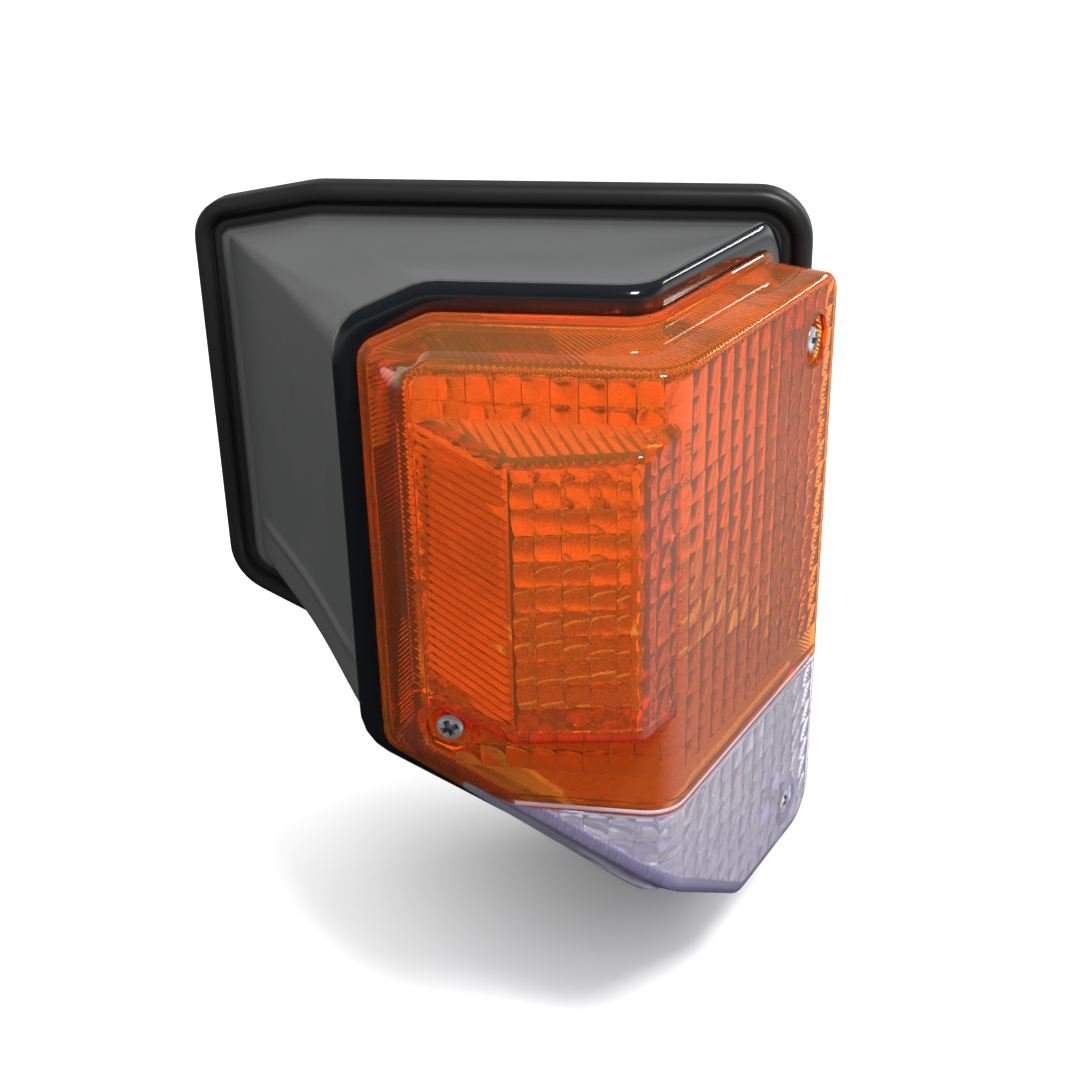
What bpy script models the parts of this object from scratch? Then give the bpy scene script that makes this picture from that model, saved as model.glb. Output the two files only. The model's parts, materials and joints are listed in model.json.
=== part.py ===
"""Front corner lamp of an off-road car: amber turn lamp above a clear parking lamp.

The lamp stands as it does on the car.  +X points outboard, the lamp faces -Y and +Z is up.
The origin lies on the rear face of the cover plate, which bolts against the wing, at the
height of the light between the two bulbs.  Lengths below are in millimetres, and every
object is built in metres.
"""
import math

import bmesh
import bpy
from mathutils import Matrix, Vector

MM = 0.001
GAP = 0.3                     # air between pieces that rest on each other

# ---- driving dimensions of the lens -------------------------------------------------------
CORNER_X = 74.0               # plan corner between the front face and the side face
FRONT_Y = -150.0              # front face
SIDE_LEAN = math.radians(21)  # side face, measured from straight back towards outboard
SEAT_CORNER_X = 62.2          # the same corner on the seat that the lens closes
SEAT_Y = -106.6               # seat plane behind the front face
BEND = 9.0                    # half length of the rounded plan corner
LENS_WALL = 2.6
JOINT_Z = -32.0               # amber above, clear below
JOINT_SEAM = 0.3
JOINT_TURN = math.radians(19) # inboard, the joint turns down the bottom wall
JOINT_FOOT = (19.0, -150.0)

# ---- driving dimensions of the raised lens block ------------------------------------------
BLOCK_FOOT_X = 6.5            # where its ramp leaves the front face
BLOCK_LEFT = (33.7, -171.8)   # top of the ramp in plan
BLOCK_RIGHT_REACH = 16.4      # how far the block runs on along the side face
BLOCK_TOP, BLOCK_BOTTOM = 84.4, -1.5
BLOCK_DRAFT = 3.0

# ---- driving dimensions of the housing ----------------------------------------------------
HOUSING_WALL = 2.3
RIM_WIDTH = 7.0
RIM_DEPTH = 7.0
SEAL_WIDTH = 8.2
SEAL_FRONT_Y = -10.0
SEAL_REAR_Y = 1.0
COVER_THICKNESS = 2.0

# ---- bulbs --------------------------------------------------------------------------------
BULB_TURN = math.radians(30)  # bulb axes turn outboard from straight ahead
TRAY_ORIGIN = (33.0, -46.0)   # plan point on the tray's back plate
TRAY_WALL = 1.8
TURN_BULB = {"name": "turn", "along": 4.0, "z": 35.0, "glass_r": 13.2, "length": 46.0}
PARK_BULB = {"name": "park", "along": 22.0, "z": -56.0, "glass_r": 9.5, "length": 32.0}
CAP_R = 7.5                   # bayonet cap of 15 mm
PIN_TURN = math.radians(15)
PUSH = 1.5                    # travel of the sprung contact

# ---- fasteners ----------------------------------------------------------------------------
LENS_SCREW = {"thread_r": 2.0, "head_r": 4.0, "head_h": 2.6, "length": 16.0}
STUD_R, NUT_FLATS, NUT_H = 3.0, 10.0, 5.0
STUD_PLACES = {"upper_inner": (-72.0, 82.0), "upper_outer": (62.0, 82.0), "lower": (58.0, -96.0)}
GROMMET_PLACE = (-40.0, -10.0)
VENT_PLACE = (14.0, -66.0)

# Outlines.  Each corner is (along, height, radius); along is counted from the plan corner.
# Names go round the lamp from the low inboard corner, up, across the top and back below.
FRONT_OUTLINE = {"low_in": (-71, -17.3, 6), "top_in": (-71, 93, 6), "top_cut": (-65, 98, 6),
                 "top_out": (110.9, 98, 7), "low_out": (110.9, -95, 14),
                 "low_bend": (51, -93, 14), "low_mid": (0, -57, 0)}
SEAT_OUTLINE = {"low_in": (-82.5, -40.5, 7), "top_in": (-82.5, 89, 8), "top_cut": (-61, 99, 14),
                "top_out": (88, 99, 8), "low_out": (88, -113, 16),
                "low_bend": (42, -111, 16), "low_mid": (0, -90.7, 0)}
RIM_OUTLINE = {"low_in": (-81.6, -37.5, 7), "top_in": (-81.6, 88.4, 7), "top_cut": (-60.6, 98, 13),
               "top_out": (87.1, 98, 8), "low_out": (87.1, -103, 14),
               "low_bend": (42, -101, 16), "low_mid": (0, -80.7, 0)}
FLANGE_OUTLINE = {"low_in": (-167.7, -35, 20), "top_in": (-167.7, 105.5, 14),
                  "top_cut": (-124, 113.3, 30), "top_out": (43.3, 113.3, 18),
                  "low_out": (43.3, -128, 20), "low_bend": (15, -128, 18),
                  "low_mid": (0, -122, 0)}
TRAY_OUTLINE = {"low_in": (-40, -34, 6), "top_in": (-40, 74, 8), "top_cut": (-33, 80, 10),
                "top_out": (48, 80, 10), "low_out": (48, -80, 10),
                "low_bend": (26, -80, 12), "low_mid": (0, -62, 0)}
CORNERS = ("low_in", "top_in", "top_cut", "top_out", "low_out", "low_bend")
BEND_STEPS = (-BEND, -BEND / 2, 0.0, BEND / 2, BEND)


# ---- scene --------------------------------------------------------------------------------
def clear_scene():
    for thing in list(bpy.data.objects):
        bpy.data.objects.remove(thing, do_unlink=True)


def collection(name):
    made = bpy.data.collections.new(name)
    bpy.context.scene.collection.children.link(made)
    return made


clear_scene()
LAMP = collection("corner_lamp")
CUTTERS = collection("cutters")


def material(name, colour, roughness, metallic=0.0, alpha=1.0):
    made = bpy.data.materials.new(name)
    made.use_nodes = True
    shader = made.node_tree.nodes["Principled BSDF"]
    shader.inputs["Base Color"].default_value = (*colour, 1.0)
    shader.inputs["Roughness"].default_value = roughness
    shader.inputs["Metallic"].default_value = metallic
    shader.inputs["Alpha"].default_value = alpha
    return made


BLACK_SATIN = material("black_satin_plastic", (0.035, 0.036, 0.038), 0.45)
BLACK_GLOSS = material("black_gloss_plastic", (0.012, 0.013, 0.015), 0.15)
BLACK_RUBBER = material("black_rubber", (0.015, 0.015, 0.016), 0.6)
AMBER = material("amber_lens", (0.85, 0.19, 0.02), 0.1)
CLEAR = material("clear_lens", (0.72, 0.71, 0.78), 0.1)
SILVERED = material("silvered_plastic", (0.8, 0.8, 0.8), 0.28, 1.0)
BAKELITE = material("brown_insulator", (0.16, 0.07, 0.03), 0.5)
GLASS = material("bulb_glass", (0.9, 0.92, 0.93), 0.05)
NICKEL = material("nickel_plate", (0.75, 0.73, 0.68), 0.25, 1.0)
ZINC = material("zinc_plate", (0.72, 0.74, 0.77), 0.3, 1.0)
BRASS = material("brass", (0.75, 0.56, 0.25), 0.3, 1.0)
STEEL = material("spring_steel", (0.5, 0.5, 0.5), 0.35, 1.0)


def link(name, mesh, look, smooth=True):
    made = bpy.data.objects.new(name, mesh)
    LAMP.objects.link(made)
    mesh.materials.append(look)
    if smooth:
        mesh.shade_smooth()
        mesh.set_sharp_from_angle(angle=math.radians(35))
    return made


def as_cutter(thing):
    for home in list(thing.users_collection):
        home.objects.unlink(thing)
    CUTTERS.objects.link(thing)
    thing.hide_render = True
    thing.display_type = "WIRE"
    return thing


def mesh_from(name, build):
    """Mesh made by a function that fills a bmesh given in millimetres."""
    work = bmesh.new()
    build(work)
    bmesh.ops.scale(work, vec=(MM, MM, MM), verts=work.verts)
    bmesh.ops.recalc_face_normals(work, faces=work.faces)
    mesh = bpy.data.meshes.new(name)
    work.to_mesh(mesh)
    work.free()
    return mesh


def boolean(target, tool, operation):
    step = target.modifiers.new(operation.lower() + "_" + tool.name, "BOOLEAN")
    step.operation = operation
    step.object = tool
    step.solver = "EXACT"
    return step


def apply_modifiers(thing):
    """Replace an object's mesh by its evaluated one."""
    graph = bpy.context.evaluated_depsgraph_get()
    baked = bpy.data.meshes.new_from_object(thing.evaluated_get(graph))
    thing.modifiers.clear()
    thing.data = baked
    return thing


# ---- plan paths and outlines --------------------------------------------------------------
SIDE_WAY = Vector((math.sin(SIDE_LEAN), math.cos(SIDE_LEAN), 0.0))
SIDE_OUT = Vector((math.cos(SIDE_LEAN), -math.sin(SIDE_LEAN), 0.0))
TRAY_WAY = Vector((math.cos(BULB_TURN), math.sin(BULB_TURN), 0.0))
BULB_WAY = Vector((math.sin(BULB_TURN), -math.cos(BULB_TURN), 0.0))
LENS_DEPTH = SEAT_Y - FRONT_Y


def plan_point(along, behind):
    """Point on the lens's bent plan path, a distance behind the front face."""
    share = behind / LENS_DEPTH
    corner = Vector((CORNER_X, FRONT_Y, 0)).lerp(Vector((SEAT_CORNER_X, SEAT_Y, 0)), share)
    if along <= -BEND:
        return corner + Vector((along, 0, 0))
    if along >= BEND:
        return corner + SIDE_WAY * along
    share = (along + BEND) / (2 * BEND)
    inner = corner + Vector((-BEND, 0, 0))
    outer = corner + SIDE_WAY * BEND
    return inner * (1 - share) ** 2 + corner * 2 * share * (1 - share) + outer * share ** 2


def on_lens(behind):
    return lambda along, z: plan_point(along, behind) + Vector((0, 0, z))


def on_plane(y):
    return lambda along, z: Vector((SEAT_CORNER_X + along, y, z))


def on_tray(forward):
    start = Vector((*TRAY_ORIGIN, 0)) + BULB_WAY * forward
    return lambda along, z: start + TRAY_WAY * along + Vector((0, 0, z))


def inset_corners(outline, inset):
    """Move every edge of an outline inwards, keeping its corners' names."""
    names = CORNERS + ("low_mid",)
    points = [Vector(outline[name][:2]) for name in names]
    moved = {}
    for index, name in enumerate(names):
        here = points[index]
        before = (here - points[index - 1]).normalized()
        after = (points[(index + 1) % len(points)] - here).normalized()
        inward_before = Vector((before.y, -before.x))
        inward_after = Vector((after.y, -after.x))
        bisector = (inward_before + inward_after).normalized()
        point = here + bisector * (inset / bisector.dot(inward_before))
        moved[name] = (point.x, point.y, max(outline[name][2] - inset, 1.5))
    return moved


def arc(before, corner, after, radius, steps):
    """Points of the round that replaces a corner."""
    towards_before = (before - corner).normalized()
    towards_after = (after - corner).normalized()
    half = towards_before.angle(towards_after) / 2
    reach = radius / math.tan(half)
    centre = corner + (towards_before + towards_after).normalized() * (radius / math.sin(half))
    start = corner + towards_before * reach - centre
    sweep = math.pi - 2 * half
    turn = 1 if towards_before.cross(towards_after) < 0 else -1
    points = []
    for step in range(steps + 1):
        points.append(centre + Matrix.Rotation(turn * sweep * step / steps, 2) @ start)
    return points


def height_at(outline, along, names):
    """Height of the polyline through the named corners."""
    for left, right in zip(names, names[1:]):
        a, b = outline[left], outline[right]
        if a[0] <= along <= b[0]:
            return a[1] + (b[1] - a[1]) * (along - a[0]) / (b[0] - a[0])
    raise ValueError("along lies outside the outline")


def outline_points(outline, inset=0.0, steps=4):
    """Closed row of (along, height) points; every outline gives the same number of them."""
    shape = inset_corners(outline, inset)
    names = CORNERS + ("low_mid",)
    points = []
    for index, name in enumerate(CORNERS):
        before = Vector(shape[names[index - 1]][:2])
        here = Vector(shape[name][:2])
        after = Vector(shape[names[(index + 1) % len(names)]][:2])
        points += arc(before, here, after, shape[name][2], steps)
        if name == "top_cut":
            points += [Vector((along, shape["top_cut"][1])) for along in BEND_STEPS]
    for along in reversed(BEND_STEPS):
        low = height_at(shape, along, ("low_in", "low_mid", "low_bend"))
        points.append(Vector((along, low)))
    return points


def loop(outline, inset, place, steps=4):
    return [place(point.x, point.y) for point in outline_points(outline, inset, steps)]


def blend_loops(first, second, share):
    return [a.lerp(b, share) for a, b in zip(first, second)]


def add_rows(work, rows, closed=False):
    """Skin between closed rows of points; closed joins the last row to the first."""
    rings = [[work.verts.new(point) for point in row] for row in rows]
    pairs = list(zip(rings, rings[1:]))
    if closed:
        pairs.append((rings[-1], rings[0]))
    for low, high in pairs:
        for index in range(len(low)):
            after = (index + 1) % len(low)
            work.faces.new((low[index], low[after], high[after], high[index]))
    return rings


def close_bent(work, ring, steps=4):
    """Close a row that follows the bent plan path: flat, rounded strip, flat."""
    arc_points = steps + 1
    top_start = 3 * arc_points
    bends = len(BEND_STEPS)
    top = ring[top_start:top_start + bends]
    low = list(reversed(ring[-bends:]))
    work.faces.new([low[0]] + ring[:top_start] + [top[0]])
    for index in range(bends - 1):
        work.faces.new((low[index], top[index], top[index + 1], low[index + 1]))
    work.faces.new([top[-1]] + ring[top_start + bends:-bends] + [low[-1]])


def solid_of_rows(work, rows):
    rings = add_rows(work, rows)
    close_bent(work, rings[0])
    close_bent(work, rings[-1])


# ---- simple solids ------------------------------------------------------------------------
def frame_at(origin, axis):
    """Matrix whose Z runs along the axis from the origin."""
    turn = Vector((0, 0, 1)).rotation_difference(Vector(axis)).to_matrix().to_4x4()
    return Matrix.Translation(Vector(origin)) @ turn


def cylinder(work, origin, axis, radius, start, end, segments=24, top_radius=None):
    place = frame_at(origin, axis) @ Matrix.Translation((0, 0, (start + end) / 2))
    bmesh.ops.create_cone(work, cap_ends=True, segments=segments, radius1=radius,
                          radius2=radius if top_radius is None else top_radius,
                          depth=end - start, matrix=place)


def box(work, centre, size, turn=None):
    place = Matrix.Translation(centre) @ (turn or Matrix.Identity(4)) @ Matrix.Diagonal((*size, 1))
    bmesh.ops.create_cube(work, size=1.0, matrix=place)


def solid(name, build, look, smooth=True):
    return link(name, mesh_from(name, build), look, smooth)


def cutter(name, build):
    return as_cutter(link(name, mesh_from(name, build), BLACK_SATIN, smooth=False))


def turned(name, profile, origin, axis, look, steps=24, phase=0.0):
    """Turned solid: (radius, height) pairs down the outer side, spun round the axis."""
    mesh = bpy.data.meshes.new(name)
    points = [(radius * MM, 0.0, height * MM) for radius, height in profile]
    if profile[0][0] > 0 and profile[-1][0] > 0:
        edges = [(i, (i + 1) % len(points)) for i in range(len(points))]
    else:
        edges = [(i, i + 1) for i in range(len(points) - 1)]
    mesh.from_pydata(points, edges, [])
    made = link(name, mesh, look, smooth=False)
    spin = made.modifiers.new("turn", "SCREW")
    spin.axis = "Z"
    spin.steps = steps
    spin.render_steps = steps
    spin.use_merge_vertices = True
    spin.merge_threshold = 0.00001
    spin.use_smooth_shade = True
    place = frame_at(Vector(origin) * MM, axis) @ Matrix.Rotation(phase, 4, "Z")
    made.matrix_world = place
    return made


def wire(name, points, radius, look, origin=(0, 0, 0), axis=(0, 0, 1)):
    """Round wire through points given in millimetres in the frame of an axis."""
    curve = bpy.data.curves.new(name, "CURVE")
    curve.dimensions = "3D"
    curve.bevel_depth = radius * MM
    curve.bevel_resolution = 1
    curve.use_fill_caps = True
    line = curve.splines.new("POLY")
    line.points.add(len(points) - 1)
    for point, (x, y, z) in zip(line.points, points):
        point.co = (x * MM, y * MM, z * MM, 1.0)
    curve.materials.append(look)
    made = bpy.data.objects.new(name, curve)
    LAMP.objects.link(made)
    made.matrix_world = frame_at(Vector(origin) * MM, axis)
    return made


# ---- lens ---------------------------------------------------------------------------------
SKIRT_INSET, SKIRT_DEPTH = 0.8, 5.5
LIP_THICKNESS = 2.2
EDGE_ROUND = 6.0


def lens_rows(inset):
    """Rows of the lens body from its skirt to its face; inset gives the inner skin."""
    skirt = SKIRT_INSET + inset
    lip_front = LENS_DEPTH - LIP_THICKNESS
    seat = loop(SEAT_OUTLINE, inset + 2.2, on_lens(lip_front - inset * 0.1))
    face = loop(FRONT_OUTLINE, inset, on_lens(inset))
    rows = [loop(RIM_OUTLINE, skirt, on_lens(LENS_DEPTH + SKIRT_DEPTH + inset))]
    if inset == 0.0:
        rows.append(loop(RIM_OUTLINE, skirt, on_lens(LENS_DEPTH)))
        rows.append(loop(SEAT_OUTLINE, 0.0, on_lens(LENS_DEPTH)))
        rows.append(loop(SEAT_OUTLINE, 0.0, on_lens(lip_front)))
    else:
        rows.append(loop(RIM_OUTLINE, skirt, on_lens(lip_front)))
    rows.append(seat)
    rows.append(blend_loops(seat, face, 0.84))
    shoulder = blend_loops(seat, face, 0.93)
    inner_face = loop(FRONT_OUTLINE, inset + EDGE_ROUND * 0.45, on_lens(inset))
    rows.append(blend_loops(shoulder, inner_face, 0.35))
    rows.append(loop(FRONT_OUTLINE, inset + EDGE_ROUND * 0.3, on_lens(inset + 0.7)))
    rows.append(loop(FRONT_OUTLINE, inset + EDGE_ROUND * 0.7, on_lens(inset)))
    return rows


def block_plan(inset):
    """Plan of the raised block: ramp, face, and its run into the side face."""
    corner = Vector((CORNER_X, FRONT_Y, 0))
    foot = Vector((BLOCK_FOOT_X, FRONT_Y, 0))
    left = Vector((*BLOCK_LEFT, 0))
    right = corner - SIDE_WAY * BLOCK_RIGHT_REACH
    outline = [foot, left, right]
    normals = []
    for a, b in ((foot, left), (left, right), (right, corner)):
        way = (b - a).normalized()
        normals.append(Vector((way.y, -way.x, 0)))
    moved = [foot - normals[0] * inset * 1.2]
    for index in (1, 2):
        bisector = (normals[index - 1] + normals[index]).normalized()
        moved.append(outline[index] - bisector * (inset / bisector.dot(normals[index])))
    deep = 6.0 + inset * 2
    back_right = corner + SIDE_WAY * deep - SIDE_OUT * inset
    return [moved[0] + Vector((deep * 0.6, deep, 0)), *moved, back_right]


def add_block(work, inset):
    plan = block_plan(inset)
    if inset == 0.0:
        plan[0] = Vector((BLOCK_FOOT_X + 4, FRONT_Y + 2, 0))
        plan[1] = Vector((BLOCK_FOOT_X - 1.3, FRONT_Y + 1.0, 0))
        plan[4] = Vector((CORNER_X - 5, FRONT_Y + 2, 0))
        plan.insert(4, Vector((CORNER_X, FRONT_Y, 0)) + SIDE_WAY * 1.0 - SIDE_OUT * 0.4)
    rows = []
    for base, draft in ((BLOCK_TOP - inset, -BLOCK_DRAFT), (BLOCK_BOTTOM + inset, BLOCK_DRAFT)):
        row = []
        for point in plan:
            raised = max(0.0, min(1.0, (FRONT_Y - point.y) / 20.0))
            row.append(point + Vector((0, 0, base + draft * raised)))
        rows.append([work.verts.new(point) for point in row])
    top, low = rows
    work.faces.new(top)
    work.faces.new(list(reversed(low)))
    for index in range(len(top)):
        after = (index + 1) % len(top)
        work.faces.new((top[index], low[index], low[after], top[after]))


def side_face_point(along, z):
    return Vector((CORNER_X, FRONT_Y, 0)) + SIDE_WAY * along + Vector((0, 0, z))


LENS_SCREW_PLACES = {
    "front": {"at": Vector((11.6, FRONT_Y, -8.1)), "out": Vector((0, -1, 0)), "post": 91.0},
    "side_upper": {"at": side_face_point(94.0, 80.0), "out": SIDE_OUT, "post": 58.0},
    "side_lower": {"at": side_face_point(90.0, -80.0), "out": SIDE_OUT, "post": 57.0},
}
POCKET_R = {"front": 6.5, "side_upper": 8.0, "side_lower": 6.0}
POCKET_DEPTH = 3.2
BOSS_R, BOSS_DEPTH = 7.0, 9.0


def make_lens():
    """Both lenses, cut from one drafted shell at the joint between them."""
    outer = solid("lens_body", lambda w: solid_of_rows(w, lens_rows(0.0)), AMBER)
    block = cutter("lens_block", lambda w: add_block(w, 0.0))
    boolean(outer, block, "UNION")
    hollow = solid("lens_hollow", lambda w: solid_of_rows(w, lens_rows(LENS_WALL)), AMBER)
    block_hollow = cutter("lens_block_hollow", lambda w: add_block(w, LENS_WALL))
    boolean(hollow, block_hollow, "UNION")
    as_cutter(apply_modifiers(hollow))
    boolean(outer, hollow, "DIFFERENCE")

    def bosses(work):
        for name, screw in LENS_SCREW_PLACES.items():
            radius = min(BOSS_R, POCKET_R[name] + 1.5)
            cylinder(work, screw["at"], -screw["out"], radius + 1.5, 1.0, BOSS_DEPTH)

    def pockets(work):
        for name, screw in LENS_SCREW_PLACES.items():
            cylinder(work, screw["at"], screw["out"], POCKET_R[name], -POCKET_DEPTH, 12.0)
            cylinder(work, screw["at"], screw["out"], 2.5, -40.0, -POCKET_DEPTH + 1.0, 16)

    boolean(outer, cutter("lens_bosses", bosses), "UNION")
    boolean(outer, cutter("lens_pockets", pockets), "DIFFERENCE").use_self = True
    whole = apply_modifiers(outer)
    inboard = Vector((math.cos(JOINT_TURN), math.sin(JOINT_TURN), 0))

    def below_joint(seam):
        """Space of the clear lens: under the joint and outboard of its turned end."""
        def low(work):
            box(work, (40, -90, JOINT_Z + seam - 150), (400, 260, 300))

        def side(work):
            centre = Vector((*JOINT_FOOT, 0)) - inboard * (100 + seam)
            box(work, centre, (200, 300, 400), Matrix.Rotation(JOINT_TURN, 4, "Z"))
        space = cutter("below_joint", low)
        boolean(space, cutter("inboard_of_joint", side), "DIFFERENCE")
        return apply_modifiers(space)

    halves = (("amber_lens", JOINT_SEAM / 2, "DIFFERENCE", AMBER),
              ("clear_lens", -JOINT_SEAM / 2, "INTERSECT", CLEAR))
    for name, seam, operation, look in halves:
        part = whole.copy()
        part.data = whole.data.copy()
        part.name = name
        part.data.materials.clear()
        part.data.materials.append(look)
        LAMP.objects.link(part)
        boolean(part, below_joint(seam), operation)
        apply_modifiers(part)
        part.data.set_sharp_from_angle(angle=math.radians(30))
    bpy.data.objects.remove(whole, do_unlink=True)


# ---- housing, rim, seal, cover ------------------------------------------------------------
def make_rim():
    """Rolled rim round the lens opening."""
    section = ((0.0, 0.6), (0.5, GAP), (RIM_WIDTH - 0.8, GAP), (RIM_WIDTH + 0.6, 1.2),
               (RIM_WIDTH + 1.5, 3.0), (RIM_WIDTH + 1.5, 5.5), (RIM_WIDTH + 1.0, RIM_DEPTH),
               (0.0, RIM_DEPTH))
    rows = [loop(RIM_OUTLINE, -out, on_lens(LENS_DEPTH + back)) for out, back in section]
    solid("lens_rim", lambda w: add_rows(w, rows, closed=True), BLACK_GLOSS)


def housing_rows(inset):
    """Rows of the housing's wall from the rim to the wing."""
    front = loop(RIM_OUTLINE, -7.4 + inset, on_lens(LENS_DEPTH + RIM_DEPTH + GAP))
    neck = loop(RIM_OUTLINE, -7.6 + inset, on_lens(LENS_DEPTH + RIM_DEPTH + 3.0))
    groove = loop(FLANGE_OUTLINE, 12.6 + inset, on_plane(-7.0 + inset * 0.4))
    step = loop(FLANGE_OUTLINE, 8.8 + inset, on_plane(-6.6 + inset))
    rear = loop(FLANGE_OUTLINE, 8.8 + inset, on_plane(0.0))
    return [front, neck, blend_loops(neck, groove, 0.5), groove, step, rear]


def make_housing():
    """Flared housing: an outer and an inner skin joined at both mouths."""
    def build(work):
        rows = housing_rows(0.0) + list(reversed(housing_rows(HOUSING_WALL)))
        add_rows(work, rows, closed=True)
    solid("housing_shell", build, BLACK_SATIN)


def make_seal():
    """Rubber seal that beads over the edge of the flange."""
    section = ((SEAL_WIDTH, SEAL_REAR_Y), (SEAL_WIDTH, -6.6), (7.2, -8.8), (4.6, SEAL_FRONT_Y),
               (1.8, -9.3), (0.3, -7.2), (0.0, -4.0), (0.0, SEAL_REAR_Y))
    rows = [loop(FLANGE_OUTLINE, inset, on_plane(y)) for inset, y in section]
    solid("flange_seal", lambda w: add_rows(w, rows, closed=True), BLACK_RUBBER)


def flat_outline(name, outline, inset, place, thickness, look, normal):
    """Flat plate with the shape of an outline."""
    def build(work):
        ring = [work.verts.new(p) for p in loop(outline, inset, place)]
        face = work.faces.new(ring)
        grown = bmesh.ops.extrude_face_region(work, geom=[face])
        moved = [item for item in grown["geom"] if isinstance(item, bmesh.types.BMVert)]
        bmesh.ops.translate(work, verts=moved, vec=Vector(normal) * thickness)
    return solid(name, build, look)


def make_cover():
    """Steel plate that closes the back and carries the studs."""
    cover = flat_outline("rear_cover", FLANGE_OUTLINE, 8.8 + HOUSING_WALL + GAP,
                         on_plane(-COVER_THICKNESS), COVER_THICKNESS, ZINC, (0, 1, 0))

    def holes(work):
        for x, z in STUD_PLACES.values():
            cylinder(work, (x, 0, z), (0, 1, 0), STUD_R + GAP, -10, 10)
        for (x, z), radius in ((GROMMET_PLACE, 9.0), (VENT_PLACE, 5.0)):
            cylinder(work, (x, 0, z), (0, 1, 0), radius + GAP, -10, 10)
    boolean(cover, cutter("cover_holes", holes), "DIFFERENCE")


def make_studs():
    for name, (x, z) in STUD_PLACES.items():
        root, out = (x, 0, z), (0, 1, 0)
        profile = [(0, 24.0), (STUD_R - 0.6, 24.0), (STUD_R, 23.4), (STUD_R, -2.0 - GAP),
                   (7.0, -2.0 - GAP), (7.0, -4.4), (0, -4.4)]
        turned("stud_" + name, profile, root, out, ZINC, 20)
        ring = [(STUD_R + GAP, 4.4), (7.0, 4.4), (7.0, 3.2), (STUD_R + GAP, 3.2)]
        turned("stud_washer_" + name, ring, root, out, ZINC, 20)

        def nut(work, x=x, z=z):
            cylinder(work, (x, 0, z), (0, 1, 0), NUT_FLATS / math.sqrt(3), 4.7, 4.7 + NUT_H, 6)
        body = solid("stud_nut_" + name, nut, ZINC, smooth=False)

        def bore(work, x=x, z=z):
            cylinder(work, (x, 0, z), (0, 1, 0), STUD_R + 0.08, 0, 20, 20)
        boolean(body, cutter("nut_bore_" + name, bore), "DIFFERENCE")


def make_grommet_and_vent():
    x, z = GROMMET_PLACE
    profile = [(4.0, 6.0), (6.5, 6.0), (9.0, 4.0), (12.0, 3.2), (12.0, GAP), (9.0, GAP),
               (9.0, -2.0 - GAP), (11.5, -2.0 - GAP), (11.5, -4.5), (4.0, -4.5)]
    turned("wire_grommet", profile, (x, 0, z), (0, 1, 0), BLACK_RUBBER)
    x, z = VENT_PLACE
    profile = [(1.7, 10.0), (3.4, 10.0), (3.8, 8.6), (3.8, 2.6), (7.0, 2.6), (7.0, GAP),
               (5.0, GAP), (5.0, -2.0 - GAP), (6.2, -2.0 - GAP), (4.6, -5.0), (1.7, -5.0)]
    turned("breather", profile, (x, 0, z), (0, 1, 0), BLACK_RUBBER)


# ---- reflector tray, divider --------------------------------------------------------------
def bulb_seat(bulb):
    start = Vector((*TRAY_ORIGIN, bulb["z"]))
    return start + TRAY_WAY * bulb["along"]


def make_tray():
    """Silvered tray with three screw posts, which holds both sockets."""
    behind = LENS_DEPTH + RIM_DEPTH + 1.0

    def skin(offset):
        rim_out = loop(RIM_OUTLINE, -4.4, on_lens(behind + offset))
        rim_in = loop(RIM_OUTLINE, 3.7 - offset, on_lens(behind + offset))
        back = loop(TRAY_OUTLINE, -offset, on_tray(3.0 - offset))
        flat = loop(TRAY_OUTLINE, 4.0 - offset, on_tray(-offset))
        return [rim_out, rim_in, back, flat]

    def build(work):
        front = add_rows(work, skin(0.0))
        rear = add_rows(work, skin(TRAY_WALL))
        for rows in (front, rear):
            work.faces.new(rows[-1])
        count = len(front[0])
        for index in range(count):
            after = (index + 1) % count
            work.faces.new((front[0][index], front[0][after], rear[0][after], rear[0][index]))

    tray = solid("reflector_tray", build, SILVERED)

    def posts(work):
        for screw in LENS_SCREW_PLACES.values():
            cylinder(work, screw["at"], -screw["out"], 5.0, BOSS_DEPTH + GAP, screw["post"], 20)

    def bores(work):
        for screw in LENS_SCREW_PLACES.values():
            cylinder(work, screw["at"], -screw["out"], 3.6, 0.0, 21.0, 20)
        for bulb in (TURN_BULB, PARK_BULB):
            cylinder(work, bulb_seat(bulb), BULB_WAY, 9.3 + GAP, -9.0, 9.0)

    boolean(tray, cutter("tray_posts", posts), "UNION")
    boolean(tray, cutter("tray_bores", bores), "DIFFERENCE")


def make_divider():
    """Silvered wall that keeps the amber and the clear light apart."""
    plan = [Vector((-3, -98)), Vector((42, -140)), Vector((47, -146)), Vector((70, -146)),
            Vector((103.5, -56)), Vector((88, -34)), Vector((70, -30)), Vector((16, -61))]

    def build(work):
        low = [work.verts.new((p.x, p.y, JOINT_Z - 1.0)) for p in plan]
        face = work.faces.new(low)
        grown = bmesh.ops.extrude_face_region(work, geom=[face])
        moved = [item for item in grown["geom"] if isinstance(item, bmesh.types.BMVert)]
        bmesh.ops.translate(work, verts=moved, vec=(0, 0, 2.0))
    solid("light_divider", build, SILVERED)


# ---- bulbs and sockets --------------------------------------------------------------------
SOCKET_INNER, SOCKET_OUTER = CAP_R + 0.35, CAP_R + 1.25
CAP_FRONT, CAP_REAR = 9.0, -8.5      # along the bulb axis from the tray's back plate
PIN_HEIGHT = 1.0
PIN_R = 0.95


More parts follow.
